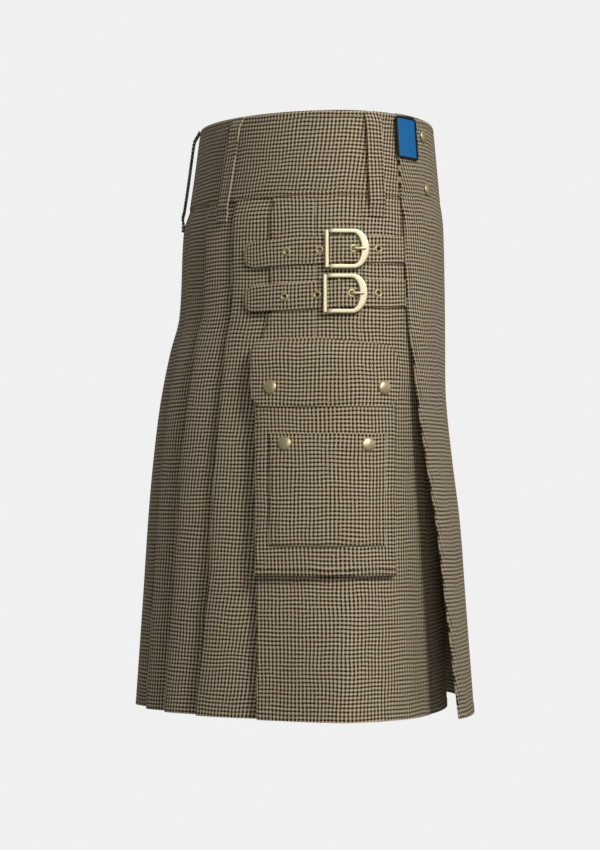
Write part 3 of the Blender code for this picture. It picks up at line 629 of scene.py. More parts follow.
def check_cloth():
    """Houndstooth: dark and light yarns four by four in a four and four twill.

    The twill's wale steps by one yarn from place to place, and a soft sheen stands for the nap.
    """
    if "kilt_check" in bpy.data.materials:
        return bpy.data.materials["kilt_check"]
    sizes = bpy.context.scene.kilt_sizes
    colours = bpy.context.scene.kilt_colours
    material, tree, shader = node_tree("kilt_check")
    links = tree.links
    cut = tree.nodes.new("ShaderNodeUVMap")
    cut.uv_map = "cut"
    split = tree.nodes.new("ShaderNodeSeparateXYZ")
    links.new(cut.outputs["UV"], split.inputs[0])
    thread = sizes.check / CHECK_THREADS
    body = tree.nodes.new("ShaderNodeTexCoord")
    drift = noise_texture(tree, body.outputs["Object"], 22.0, 1.0)
    parted = tree.nodes.new("ShaderNodeSeparateColor")
    links.new(drift.outputs["Color"], parted.inputs["Color"])
    drift_x = maths(tree, "MULTIPLY", parted.outputs["Red"], GRAIN_DRIFT)
    drift_y = maths(tree, "MULTIPLY", parted.outputs["Green"], GRAIN_DRIFT)
    moved_x = maths(tree, "ADD", split.outputs["X"], drift_x)
    moved_y = maths(tree, "ADD", split.outputs["Y"], drift_y)
    along = maths(tree, "DIVIDE", moved_x, thread)
    up = maths(tree, "DIVIDE", moved_y, thread)
    past_zero = 1000.0 * CHECK_THREADS
    warp = maths(tree, "FLOOR", maths(tree, "ADD", along, past_zero))
    weft = maths(tree, "FLOOR", maths(tree, "ADD", up, past_zero))
    half = CHECK_THREADS / 2
    warp_dark = maths(tree, "LESS_THAN", maths(tree, "MODULO", warp, CHECK_THREADS), half)
    weft_dark = maths(tree, "LESS_THAN", maths(tree, "MODULO", weft, CHECK_THREADS), half)
    change = maths(tree, "FLOOR", maths(tree, "MULTIPLY", parted.outputs["Blue"], WALE_CHANGES))
    wale = maths(tree, "ADD", maths(tree, "ADD", warp, weft), maths(tree, "MODULO", change, 2.0))
    warp_shows = maths(tree, "LESS_THAN", maths(tree, "MODULO", wale, CHECK_THREADS), half)
    weft_part = maths(tree, "MULTIPLY", weft_dark, maths(tree, "SUBTRACT", 1.0, warp_shows))
    dark = maths(tree, "ADD", maths(tree, "MULTIPLY", warp_dark, warp_shows), weft_part)
    slub = noise_texture(tree, body.outputs["Object"], 900.0, 2.0)
    cloud = noise_texture(tree, body.outputs["Object"], 14.0, 3.0)
    yarns = mixed_colour(tree, dark, colours.light_yarn, colours.dark_yarn)
    tone = tree.nodes.new("ShaderNodeHueSaturation")
    value = maths(tree, "ADD", maths(tree, "MULTIPLY", slub.outputs["Fac"], 0.30),
                  maths(tree, "MULTIPLY", cloud.outputs["Fac"], 0.10))
    links.new(maths(tree, "ADD", value, 0.80), tone.inputs["Value"])
    links.new(yarns, tone.inputs["Color"])
    links.new(tone.outputs["Color"], shader.inputs["Base Color"])
    round_warp = maths(tree, "SINE", maths(tree, "MULTIPLY", maths(tree, "FRACT", along), math.pi))
    round_weft = maths(tree, "SINE", maths(tree, "MULTIPLY", maths(tree, "FRACT", up), math.pi))
    yarn = maths(tree, "ADD", maths(tree, "MULTIPLY", round_warp, warp_shows),
                 maths(tree, "MULTIPLY", round_weft, maths(tree, "SUBTRACT", 1.0, warp_shows)))
    add_bump(tree, shader, maths(tree, "ADD", yarn, slub.outputs["Fac"]), 0.35, 0.00025)
    shader.inputs["Roughness"].default_value = 0.92
    shader.inputs["Specular IOR Level"].default_value = 0.18
    shader.inputs["Sheen Weight"].default_value = 0.75
    shader.inputs["Sheen Roughness"].default_value = 0.38
    shader.inputs["Sheen Tint"].default_value = (0.52, 0.43, 0.33, 1.0)
    return material


def sewing_thread():
    """Twisted matt sewing thread, with painted light and shade: noise mixes a shaded and a lit copy of
    its colour.
    """
    if "kilt_thread" in bpy.data.materials:
        return bpy.data.materials["kilt_thread"]
    material, tree, shader = node_tree("kilt_thread")
    body = tree.nodes.new("ShaderNodeTexCoord")
    # Painted light and shade: this noise picks between a shaded copy and a lit copy of the thread colour.
    twist_shade_mask = noise_texture(tree, body.outputs["Object"], 2500.0)
    colour = bpy.context.scene.kilt_colours.thread
    shaded = [value * 0.7 for value in colour]
    lit = [value * 1.3 for value in colour]
    thread_lit_and_shaded = mixed_colour(tree, twist_shade_mask.outputs["Fac"], shaded, lit)
    tree.links.new(thread_lit_and_shaded, shader.inputs["Base Color"])
    shader.inputs["Roughness"].default_value = 0.75
    return material


def brass(name, colour, roughness, metallic):
    """Cast or pressed brass with faint handling marks."""
    if name in bpy.data.materials:
        return bpy.data.materials[name]
    material, tree, shader = node_tree(name)
    body = tree.nodes.new("ShaderNodeTexCoord")
    marks = noise_texture(tree, body.outputs["Object"], 160.0, 4.0)
    worn = mixed_colour(tree, marks.outputs["Fac"], [value * 0.88 for value in colour], colour)
    tree.links.new(worn, shader.inputs["Base Color"])
    spotted = maths(tree, "MULTIPLY", marks.outputs["Fac"], 0.10)
    tree.links.new(maths(tree, "ADD", spotted, roughness - 0.05), shader.inputs["Roughness"])
    add_bump(tree, shader, marks.outputs["Fac"], 0.08, 0.0002)
    shader.inputs["Metallic"].default_value = metallic
    return material


def pale_brass():
    """The buckles' and prongs' brass."""
    return brass("kilt_pale_brass", bpy.context.scene.kilt_colours.pale_brass, 0.36, 0.60)


def antique_brass():
    """The snaps' and eyelets' darker brass."""
    return brass("kilt_antique_brass", bpy.context.scene.kilt_colours.antique_brass, 0.36, 0.72)


def tab_cloth():
    """Woven tab: a plain ground with a darker overlocked border."""
    colours = bpy.context.scene.kilt_colours
    material, tree, shader = node_tree("kilt_tab_cloth")
    cut = tree.nodes.new("ShaderNodeUVMap")
    cut.uv_map = "cut"
    split = tree.nodes.new("ShaderNodeSeparateXYZ")
    tree.links.new(cut.outputs["UV"], split.inputs[0])
    middle_u = TAB_STEPS // 2 * GRAIN_STEP
    sides = maths(tree, "ABSOLUTE", maths(tree, "SUBTRACT", split.outputs["X"], middle_u))
    ends = maths(tree, "ABSOLUTE", maths(tree, "SUBTRACT", split.outputs["Y"], TAB_MIDDLE))
    border = maths(tree, "MAXIMUM", maths(tree, "GREATER_THAN", sides, TAB_WIDTH / 2 - TAB_BORDER),
                   maths(tree, "GREATER_THAN", ends, TAB_HEIGHT / 2 - TAB_BORDER))
    woven = mixed_colour(tree, border, colours.tab_ground, colours.tab_edge)
    tree.links.new(woven, shader.inputs["Base Color"])
    rib = tree.nodes.new("ShaderNodeTexWave")
    rib.bands_direction = "DIAGONAL"
    rib.inputs["Scale"].default_value = 260.0
    tree.links.new(cut.outputs["UV"], rib.inputs["Vector"])
    add_bump(tree, shader, rib.outputs["Fac"], 0.4, 0.0003)
    shader.inputs["Roughness"].default_value = 0.6
    return material


def skirt_heights(count, top=BAND_BOTTOM - SEAM_GAP):
    """Heights of the skirt's rows, with a close pair at the hem for its fold."""
    hem = [0.0, 0.0012, 0.0065, 0.0080]
    return hem + spread(0.014, top - 0.006, count) + [top - 0.003, top - 0.001, top]


def hem_rise(height):
    """The turned hem stands a little proud, and the top edge sinks into the waistband's seam."""
    if height < 0.009:
        return 0.0004 * (1 - ease((height - 0.0062) / 0.0018))
    return -0.0009 * ease((height - (BAND_BOTTOM - 0.0045)) / 0.0035)


def band_rise(degrees):
    """How far the band's outer face is off the skirt's plan, where it laps over itself."""
    lapped = (degrees - BAND_LAP_START) / (BAND_LAP_FULL - BAND_LAP_START)
    return BAND_PROUD + LAP_RISE * ease(lapped)


def band_face(height):
    """The sewn band is thinner along its two rows of stitching."""
    pinch = 0.0
    for line in BAND_ROWS:
        pinch += 0.00045 * math.exp(-((height - line) / 0.0012) ** 2)
    edge = min(height - BAND_BOTTOM, KILT_LENGTH - height)
    return -pinch - 0.0006 * (1 - ease(edge / 0.0016))


def make_waistband():
    """One long strip that starts inside at the left front and laps over itself across the front."""
    heights = [BAND_BOTTOM + d for d in (0.0, 0.0008, 0.0020, 0.0040, 0.0055, 0.0070, 0.0090)]
    heights += spread(BAND_BOTTOM + 0.013, KILT_LENGTH - 0.014, 12)
    heights += [KILT_LENGTH - d for d in (0.0095, 0.0075, 0.0060, 0.0045, 0.0020, 0.0008, 0.0)]
    turns = spread(BAND_INNER_END, BAND_OUTER_END, 300)
    outer = []
    inner = []
    for height in heights:
        face = band_face(height)
        outer.append([angle_point(height, turn, band_rise(turn) + face) for turn in turns])
        inner.append([angle_point(height, turn, band_rise(turn) - BAND_CLOTH - face * 0.5)
                      for turn in turns])
    cloth_piece("kilt_waistband", outer, inner, heights, "waistband")


def apron_point(height, degrees, offset):
    """A point of the front apron."""
    return angle_point(height, degrees, offset, "apron")


def apron_turns(height, steps):
    """The apron's columns at a height, closer together at its two edges."""
    left = -edge_angle(APRON_SEWN_EDGE, height)
    right = edge_angle(APRON_FREE_EDGE, height)
    margin = 2.6
    turns = [left, left + margin * 0.12, left + margin * 0.75, left + margin]
    turns += spread(left + margin * 1.6, right - margin * 1.6, steps)
    return turns + [right - margin, right - margin * 0.75, right - margin * 0.12, right]


def edge_fold(turns, turn):
    """The apron's turned side edges stand a little proud."""
    from_edge = min(turn - turns[0], turns[-1] - turn)
    return 0.0004 * (1 - ease((from_edge - 1.9) / 0.7))


def make_aprons():
    """The front apron and the layer under it."""
    heights = skirt_heights(44)
    outer = []
    inner = []
    for height in heights:
        turns = apron_turns(height, 64)
        row = []
        for turn in turns:
            proud = max(hem_rise(height), edge_fold(turns, turn))
            row.append(apron_point(height, turn, proud - 0.0002))
        outer.append(row)
        inner.append([apron_point(height, turn, -CLOTH) for turn in turns])
    cloth_piece("kilt_front_apron", outer, inner, heights, "front_apron")
    outer = []
    inner = []
    for height in heights:
        turns = spread(-UNDER_APRON_FREE, UNDER_APRON_SEAM, 44)
        outer.append([angle_point(height, turn, hem_rise(height) - 0.0002) for turn in turns])
        inner.append([angle_point(height, turn, -CLOTH) for turn in turns])
    cloth_piece("kilt_under_apron", outer, inner, heights, "under_apron")


def make_side_panel(name, node, hand):
    """The flat panel at a hip, from the front seam to the first pleat's edge."""
    heights = skirt_heights(50)
    layer = side_layer(hand)
    seam_turn = math.degrees(SEAM_GAP / 0.10)
    outer = []
    inner = []
    for height in heights:
        front = edge_angle(APRON_SEWN_EDGE, height) - PANEL_TUCK
        if hand > 0:
            front = UNDER_APRON_SEAM + seam_turn
        rear = edge_angle(PANEL_REAR, height)
        turns = [front]
        for tuck in reversed(YOKE_TUCKS):
            near = [turn_at(height, tuck + place, layer) for place in TUCK_COLUMNS]
            turns += spread(turns[-1], near[0], 22)[1:] + near[1:]
        turns += spread(turns[-1], rear - 1.2, 26)[1:] + [rear - 0.4, rear]
        outside = []
        inside = []
        for turn in turns:
            plan = at_angle(height, hand * turn, layer)
            ridge = panel_ridge(height, plan.x) - yoke_tuck(height, plan.x)
            outside.append(angle_point(height, hand * turn, ridge + hem_rise(height) - 0.0002, layer))
            inside.append(angle_point(height, hand * turn, ridge - CLOTH, layer))
        outer.append(outside)
        inner.append(inside)
    cloth_piece(name, outer, inner, heights, node)


def pleat_share(height):
    """How open the pleats are at a height: 0 where they are stitched down, 1 at the hem."""
    stitched = EDGE_HEIGHTS[0]
    return max(0.0, (stitched - height) / stitched) ** 0.5


def pleat_half(height):
    """Middle line of the pleated cloth on the right, as (angle, depth), from the hip to the back.

    Also the column of the fold edge that each column's grain is plumb to.
    """
    open_share = pleat_share(height)
    pitch = PLEAT_PITCH_YOKE + (PLEAT_PITCH_HEM - PLEAT_PITCH_YOKE) * open_share
    underlay = PLEAT_UNDERLAY_YOKE + (PLEAT_UNDERLAY_HEM - PLEAT_UNDERLAY_YOKE) * open_share
    skin = CLOTH / 2
    turned_in = skin + 2 * PLEAT_FOLD_RADIUS
    turns = [edge_angle(edge, height) for edge in PLEAT_EDGES] + [180.0]
    line = [(turns[0], turned_in)]
    owners = [0]
    start_depth = skin
    face_length = None
    fold_steps = (-60, -30, 0, 30, 60)
    for k in range(len(PLEAT_EDGES)):
        here = turns[k]
        speed = metres_per_degree(height, here, 0.5)
        fold = underlay / speed
        bend = PLEAT_FOLD_RADIUS / speed
        covered = skin
        if face_length is not None:
            covered = skin + (start_depth - skin) * (1 - ease(1 - underlay / face_length))
            line.append((here - bend, turned_in))
            owners.append(k)
        for step in (0.33, 0.66, 1.0):
            turn = here - bend - (fold - 2 * bend) * step
            line.append((turn, turned_in + (covered + pitch - turned_in) * step))
            owners.append(k)
        for step in fold_steps:
            t = math.radians(step)
            depth = covered + pitch + PLEAT_FOLD_RADIUS * (1 + math.sin(t))
            line.append((here - fold + bend - bend * math.cos(t), depth))
            owners.append(k if step <= 0 else k + 1)
        line.append((here - fold + bend, covered + pitch + 2 * PLEAT_FOLD_RADIUS))
        owners.append(k + 1)
        start_depth = covered + pitch + 2 * PLEAT_FOLD_RADIUS
        following = turns[k + 1]
        chord = at_angle(height, following, "base") - at_angle(height, here, "base")
        face_length = chord.length + underlay
        last = k + 1 == len(PLEAT_EDGES)
        stop = following if last else following - bend
        face = spread(here - fold + bend, stop, PLEAT_FACE_STEPS)
        for step, turn in enumerate(face[1:], 1):
            line.append((turn, start_depth + (skin - start_depth) * ease(step / PLEAT_FACE_STEPS)))
            owners.append(k + 1)
        if not last:
            for step in fold_steps:
                t = math.radians(step)
                depth = skin + PLEAT_FOLD_RADIUS * (1 + math.sin(t))
                line.append((following - bend + bend * math.cos(t), depth))
                owners.append(k + 1)
    return line, owners


def offset_line(points, amount):
    """A plan line moved to its left by an amount, with mitred corners."""
    moved = []
    for i, here in enumerate(points):
        before = points[max(i - 1, 0)]
        after = points[min(i + 1, len(points) - 1)]
        first = (here - before).normalized() if i else (after - here).normalized()
        second = (after - here).normalized() if i < len(points) - 1 else first
        normal = Vector((-first.y - second.y, first.x + second.x)).normalized()
        corner = max(normal.dot(Vector((-first.y, first.x))), 0.62)
        moved.append(here + normal * (amount / corner))
    return moved


def cut_out(rows, first, last):
    """Part of each row of points, from one column to another, held half a gap back from a seam."""
    parts = []
    for row in rows:
        part = row[first:last + 1]
        if first > 0:
            part[0] = part[0] + (part[1] - part[0]).normalized() * (SEAM_GAP / 2)
        if last < len(row) - 1:
            part[-1] = part[-1] + (part[-2] - part[-1]).normalized() * (SEAM_GAP / 2)
        parts.append(part)
    return parts


def make_pleats():
    """The pleated back: three cut pieces, joined by seams hidden in the last pleats' inner folds."""
    heights = skirt_heights(46)
    outer = []
    inner = []
    anchors = []
    for height in heights:
        half, owners = pleat_half(height)
        line = half + [(360.0 - turn, depth) for turn, depth in reversed(half[:-1])]
        if not anchors:
            folds = [max(j for j, owner in enumerate(owners) if owner == k)
                     for k in range(max(owners) + 1)]
            folds[0] = 0
            anchors = [folds[owner] for owner in owners]
            width = len(line)
            anchors += [width - 1 - folds[owner] for owner in reversed(owners[:-1])]
        plan = [plan_point(height, turn, -depth) for turn, depth in line]
        skin = CLOTH / 2
        outer.append([to_world(point, height) for point in offset_line(plan, skin)])
        inner.append([to_world(point, height) for point in offset_line(plan, -skin)])
    end = len(line) - 1
    seam = len(half) - PLEAT_FACE_STEPS - 4
    pieces = {
        "pleated_back_right": (0, seam),
        "back_panel": (seam, end - seam),
        "pleated_back_left": (end - seam, end),
    }
    for node, (first, last) in pieces.items():
        grain = [min(max(anchor, first), last) - first for anchor in anchors[first:last + 1]]
        cloth_piece(f"kilt_{node}", cut_out(outer, first, last), cut_out(inner, first, last),
                    heights, node, grain)


def loop_point(name, height, across, offset):
    """A point of a belt loop: across runs from -1 to 1."""
    top, bottom = LOOP_ANGLES[name]
    share = (height - LOOP_TABLE[0].height) / (LOOP_TABLE[-1].height - LOOP_TABLE[0].height)
    middle = bottom + (top - bottom) * share
    speed = metres_per_degree(height, middle)
    turn = middle + across * LOOP_WIDTH / 2 / speed
    lift = smooth_table(LOOP_TABLE, "height", "lift", height)
    return angle_point(height, turn, lift + offset)


def make_belt_loops():
    """Strips sewn at the top edge and below the seam, standing off the waistband between."""
    heights = spread(LOOP_TABLE[0].height, LOOP_TABLE[-1].height, 44)
    across = (-1.0, -0.93, -0.72, -0.60, 0.0, 0.60, 0.72, 0.93, 1.0)
    for name in LOOP_ANGLES:
        outer = []
        inner = []
        thin = [0.0004 * (abs(place) > 0.95) for place in across]
        for height in heights:
            outer.append([loop_point(name, height, place, LOOP_CLOTH - less)
                          for place, less in zip(across, thin)])
            inner.append([loop_point(name, height, place, less)
                          for place, less in zip(across, thin)])
        cloth_piece(f"kilt_{name}", outer, inner, heights, name)


def strap_height(strap, forward):
    """Height of the strap's middle line."""
    share = (forward - STRAP_REAR) / (STRAP_FRONT - STRAP_REAR)
    return strap.rear_height + (strap.front_height - strap.rear_height) * share


def strap_lift(strap, forward):
    """How far the strap's inner face is off the panel."""
    return smooth_table(STRAP_LIFTS, "along", "lift", forward - strap.buckle)


def strap_half(forward):
    """Half the strap's width, less at its round free end."""
    radius = STRAP_END_RADIUS
    inset = min(max(0.0, 1 - (forward - STRAP_REAR) / radius), 1.0)
    return STRAP_WIDTH / 2 - radius + radius * math.sqrt(1 - inset * inset)


def strap_point(strap, hand, forward, across, offset):
    """A point of a strap: across runs from -1 to 1, offset from the inner face."""
    height = strap_height(strap, forward) + across * strap_half(forward)
    return side_point(height, forward, hand, strap_lift(strap, forward) + offset)


def surface_frame(height, forward, hand, lift, tilt=0.0):
    """A placement on a side panel: X runs forward, Z points out, Y stands up (down on the left)."""
    step = 0.004
    here = side_point(height, forward, hand, lift)
    ahead = side_point(height, forward + step, hand, lift + step * tilt)
    behind = side_point(height, forward - step, hand, lift - step * tilt)
    above = side_point(height + step, forward, hand, lift)
    below = side_point(height - step, forward, hand, lift)
    along = (ahead - behind).normalized()
    out = along.cross(above - below).normalized() * hand
    up = out.cross(along)
    turn = Matrix((along, up, out)).transposed()
    return Matrix.Translation(here) @ turn.to_4x4()


def strap_frame(strap, forward, hand, extra):
    """A placement on the strap, at a height above its inner face."""
    step = 0.003
    slope = (strap_lift(strap, forward + step) - strap_lift(strap, forward - step)) / (2 * step)
    lift = strap_lift(strap, forward) + extra
    return surface_frame(strap_height(strap, forward), forward, hand, lift, slope)


def punch(piece, places):
    """Cut round holes through a strap at its eyelets."""
    holes = bmesh.new()
    for place in places:
        bmesh.ops.create_cone(holes, cap_ends=True, segments=24, radius1=STRAP_HOLE,
                              radius2=STRAP_HOLE, depth=STRAP_CLOTH * 4, matrix=place)
    mesh = bpy.data.meshes.new("holes")
    holes.to_mesh(mesh)
    holes.free()
    tool = bpy.data.objects.new("holes", mesh)
    bpy.context.scene.collection.objects.link(tool)
    cut = piece.modifiers.new("holes", "BOOLEAN")
    cut.object = tool
    cut.solver = "EXACT"
    graph = bpy.context.evaluated_depsgraph_get()
    graph.update()
    result = bpy.data.meshes.new_from_object(piece.evaluated_get(graph), depsgraph=graph)
    piece.modifiers.clear()
    piece.data = result
    bpy.data.objects.remove(tool)


def make_strap(strap, side, hand):
    """A double strap, edge stitched, with a round free end and punched holes."""
    stations = [STRAP_REAR + STRAP_END_RADIUS * (1 - math.cos(math.radians(turn)))
                for turn in (8, 20, 34, 48, 62, 76, 90)]
    stations += spread(stations[-1], STRAP_FRONT, 70)[1:]
    across = (-1.0, -0.96, -0.86, -0.74, -0.4, 0.0, 0.4, 0.74, 0.86, 0.96, 1.0)

    def thin(place):
        """How much thinner the strap is at its edges and along its stitching."""
        edge = 0.0005 if abs(place) > 0.98 else 0.0
        return edge + 0.00025 * math.exp(-((abs(place) - STRAP_ROW) / 0.06) ** 2)

    outer = [[strap_point(strap, hand, forward, place, STRAP_CLOTH - thin(place))
              for forward in stations] for place in across]
    inner = [[strap_point(strap, hand, forward, place, thin(place))
              for forward in stations] for place in across]
    heights = [place * STRAP_WIDTH / 2 for place in across]
    node = f"strap_{side}_{strap.name}"
    piece = cloth_piece(f"kilt_{node}", outer, inner, heights, node)
    punch(piece, [strap_frame(strap, forward, hand, 0.0) for forward in strap.eyelets])


def turned(name, profile, segments):
    """A mesh turned round Z from a closed profile of (radius, height); radius 0 closes to a point."""
    shape = bmesh.new()
    rings = []
    for radius, level in profile:
        if radius == 0:
            rings.append([shape.verts.new((0, 0, level))] * segments)
            continue
        ring = []
        for k in range(segments):
            turn = 2 * math.pi * k / segments
            ring.append(shape.verts.new((radius * math.cos(turn), radius * math.sin(turn), level)))
        rings.append(ring)
    last = len(rings) if profile[0][0] > 0 else len(rings) - 1
    for i in range(last):
        lower = rings[i]
        upper = rings[(i + 1) % len(rings)]
        for k in range(segments):
            corners = [lower[k], lower[(k + 1) % segments], upper[(k + 1) % segments], upper[k]]
            shape.faces.new(list(dict.fromkeys(corners)))
    return smooth_mesh(name, shape, 50)


def smooth_mesh(name, shape, sharp):
    """Finish a bmesh as a smooth mesh with its faces out."""
    bmesh.ops.recalc_face_normals(shape, faces=shape.faces)
    mesh = bpy.data.meshes.new(name)
    shape.to_mesh(mesh)
    shape.free()
    mesh.shade_smooth()
    mesh.set_sharp_from_angle(angle=math.radians(sharp))
    return mesh


def arc(centre, radius, start, stop, steps):
    """Points of an arc in a profile."""
    points = []
    for turn in spread(start, stop, steps):
        t = math.radians(turn)
        points.append((centre[0] + radius * math.cos(t), centre[1] + radius * math.sin(t)))
    return points


def eyelet_mesh():
    """A rolled ring with a barrel through the strap; Z = 0 is the strap's outer face."""
    roll = (EYELET_OUTER - EYELET_HOLE) / 2
    profile = [(EYELET_HOLE, -STRAP_CLOTH + 0.0002), (EYELET_BARREL, -STRAP_CLOTH + 0.0002),
               (EYELET_BARREL, SEAM_GAP)]
    profile += [(r, SEAM_GAP + max(z, 0.0) * 0.9)
                for r, z in arc((EYELET_HOLE + roll, 0.0), roll, 0, 180, 10)]
    return turned("eyelet", profile, 32)


def snap_mesh():
    """A snap's domed cap with a rolled rim and a shallow step."""
    radius = SNAP_RADIUS
    profile = [(0.0, 0.0), (radius - 0.0004, 0.0), (radius, 0.0004), (radius, SNAP_RIM)]
    for turn in spread(8, 82, 10):
        t = math.radians(turn)
        profile.append((radius * math.cos(t), SNAP_RIM + (SNAP_HEIGHT - SNAP_RIM) * math.sin(t)))
    profile.append((0.0, SNAP_HEIGHT))
    return turned("snap", profile, 40)


def swept(shape, path, sizes, corners, roundness=0.7):
    """Sweep a rounded section along a path in the XY or XZ plane."""
    rings = []
    flat = all(abs(point.z - path[0].z) < 1e-9 for point in path)
    across = Vector((0, 0, 1)) if flat else Vector((0, 1, 0))
    for i, point in enumerate(path):
        run = (path[min(i + 1, len(path) - 1)] - path[max(i - 1, 0)]).normalized()
        wide = run.cross(across).normalized()
        ring = []
        for k in range(corners):
            turn = 2 * math.pi * (k + 0.5) / corners
            x = math.copysign(abs(math.cos(turn)) ** roundness, math.cos(turn))
            y = math.copysign(abs(math.sin(turn)) ** roundness, math.sin(turn))
            place = point + wide * (x * sizes[i][0]) + across * (y * sizes[i][1])
            ring.append(shape.verts.new(place))
        rings.append(ring)
    for lower, upper in zip(rings, rings[1:]):
        for k in range(corners):
            shape.faces.new((lower[k], lower[(k + 1) % corners], upper[(k + 1) % corners], upper[k]))
    shape.faces.new(rings[0])
    shape.faces.new(rings[-1])


def buckle_mesh():
    """A D frame with a straight bar behind and a pin under the strap."""
    shape = bmesh.new()
    middle_line = BUCKLE_HALF - BUCKLE_ARM / 2
    straight = 0.004
    level = BUCKLE_THICK / 2
    path = []
    sizes = []
    for along in (-BUCKLE_HALF, -BUCKLE_HALF + 0.0004, -0.014, -0.008, -0.002):
        thin = 0.8 if along == -BUCKLE_HALF else 1.0
        path.append(Vector((along, -middle_line, level)))
        sizes.append((BUCKLE_ARM / 2 * thin, level * thin))
    reach = BUCKLE_HALF - BUCKLE_RIM / 2 - straight
    for turn in spread(-90, 90, 32):
        t = math.radians(turn)
        path.append(Vector((straight + reach * math.cos(t), middle_line * math.sin(t), level)))
        wide = BUCKLE_ARM / 2 + (BUCKLE_RIM - BUCKLE_ARM) / 2 * max(math.cos(t), 0.0) ** 1.6
        sizes.append((wide, level))
    path += [Vector((point.x, -point.y, point.z)) for point in reversed(path[:5])]
    sizes += list(reversed(sizes[:5]))
    swept(shape, path, sizes, 20, 0.4)
    bar_level = level - BUCKLE_BAR_DROP
    reach = 0.0192
    bar = [Vector((BUCKLE_BAR_ALONG, y, bar_level))
           for y in (-reach, -reach + 0.0005, reach - 0.0005, reach)]
    bar_size = (BUCKLE_BAR_RADIUS * 1.2, BUCKLE_BAR_RADIUS * 0.9)
    end_size = (BUCKLE_BAR_RADIUS * 0.6, BUCKLE_BAR_RADIUS * 0.6)
    swept(shape, bar, [end_size, bar_size, bar_size, end_size], 16, 0.5)
    for sign in (-1, 1):
        neck = [Vector((along, sign * (middle_line - 0.0002), bar_level + 0.0004))
                for along in (BUCKLE_BAR_ALONG, -BUCKLE_HALF + 0.0020)]
        swept(shape, neck, [(0.0008, 0.0008), (0.0008, 0.0008)], 8)
        nub = Matrix.Translation(
            (BUCKLE_PIN_ALONG, sign * (middle_line - 0.0006), (level - BUCKLE_PIN_DROP) / 2))
        bmesh.ops.create_cone(shape, cap_ends=True, segments=14, radius1=0.0013, radius2=0.0013,
                              depth=level + BUCKLE_PIN_DROP + 0.0012, matrix=nub)
    pin = Matrix.Translation((BUCKLE_PIN_ALONG, 0, -BUCKLE_PIN_DROP))
    pin = pin @ Matrix.Rotation(math.pi / 2, 4, "X")
    bmesh.ops.create_cone(shape, cap_ends=True, segments=14, radius1=BUCKLE_PIN_RADIUS,
                          radius2=BUCKLE_PIN_RADIUS, depth=2 * middle_line, matrix=pin)
    return smooth_mesh("buckle", shape, 45)


def prong_mesh():
    """The prong, from beside the pin up through the eyelet and onto the rim."""
    low = -BUCKLE_PIN_DROP
    high = BUCKLE_THICK + PRONG_RADIUS + SEAM_GAP
    root = BUCKLE_PIN_ALONG + BUCKLE_PIN_RADIUS + SEAM_GAP
    route = [(root, low), (0.0022, low), (0.0034, low + 0.0003), (0.0040, low + 0.0012),
             (0.0042, high - 0.0018), (0.0046, high - 0.0006), (0.0060, high), (0.0110, high),
             (0.0155, high)]
    path = [Vector((x, 0, z)) for x, z in route]
    sizes = [(PRONG_RADIUS, PRONG_RADIUS * 1.2)] * len(route)
    for along, share in ((0.0161, 0.85), (0.0165, 0.55), (0.0166, 0.25)):
        path.append(Vector((along, 0, high)))
        sizes.append((PRONG_RADIUS * share, PRONG_RADIUS * 1.2 * share))
    shape = bmesh.new()
    swept(shape, path, sizes, 16)
    return smooth_mesh("prong", shape, 60)


def place_copy(name, mesh, material, node, place):
    """A fitting: its own mesh, moved to its place and standing for its CAD node."""
    copy = mesh.copy()
    copy.name = name
    copy.transform(place)
    new_piece(name, copy, material, [node])


def make_buckles():
    """Four buckle frames and their prongs."""
    frame_mesh = buckle_mesh()
    tongue = prong_mesh()
    for side, hand in SIDES:
        for strap in STRAPS:
            place = surface_frame(strap_height(strap, strap.buckle), strap.buckle, hand, BUCKLE_LIFT)
            for kind, mesh in (("buckle", frame_mesh), ("prong", tongue)):
                node = f"{kind}_{side}_{strap.name}"
                place_copy(f"kilt_{node}", mesh, pale_brass(), node, place)


def make_eyelets():
    """Sixteen eyelets in the straps."""
    ring = eyelet_mesh()
    for side, hand in SIDES:
        for strap in STRAPS:
            for number, forward in enumerate(strap.eyelets, 1):
                node = f"eyelet_{side}_{strap.name}_{number}"
                place = strap_frame(strap, forward, hand, STRAP_CLOTH)
                place_copy(f"kilt_{node}", ring, antique_brass(), node, place)


def pocket_swell(height, forward):
    """The pocket's front is a little fuller in the middle of its lower half."""
    across = (forward - POCKET_REAR) / (POCKET_FRONT - POCKET_REAR)
    up = (height - POCKET_BOTTOM) / (POCKET_TOP - POCKET_BOTTOM)
    wide = math.sin(math.pi * min(max(across, 0.0), 1.0))
    tall = math.sin(math.pi * min(max(up, 0.0), 1.0))
    return 0.0012 * (wide * tall)


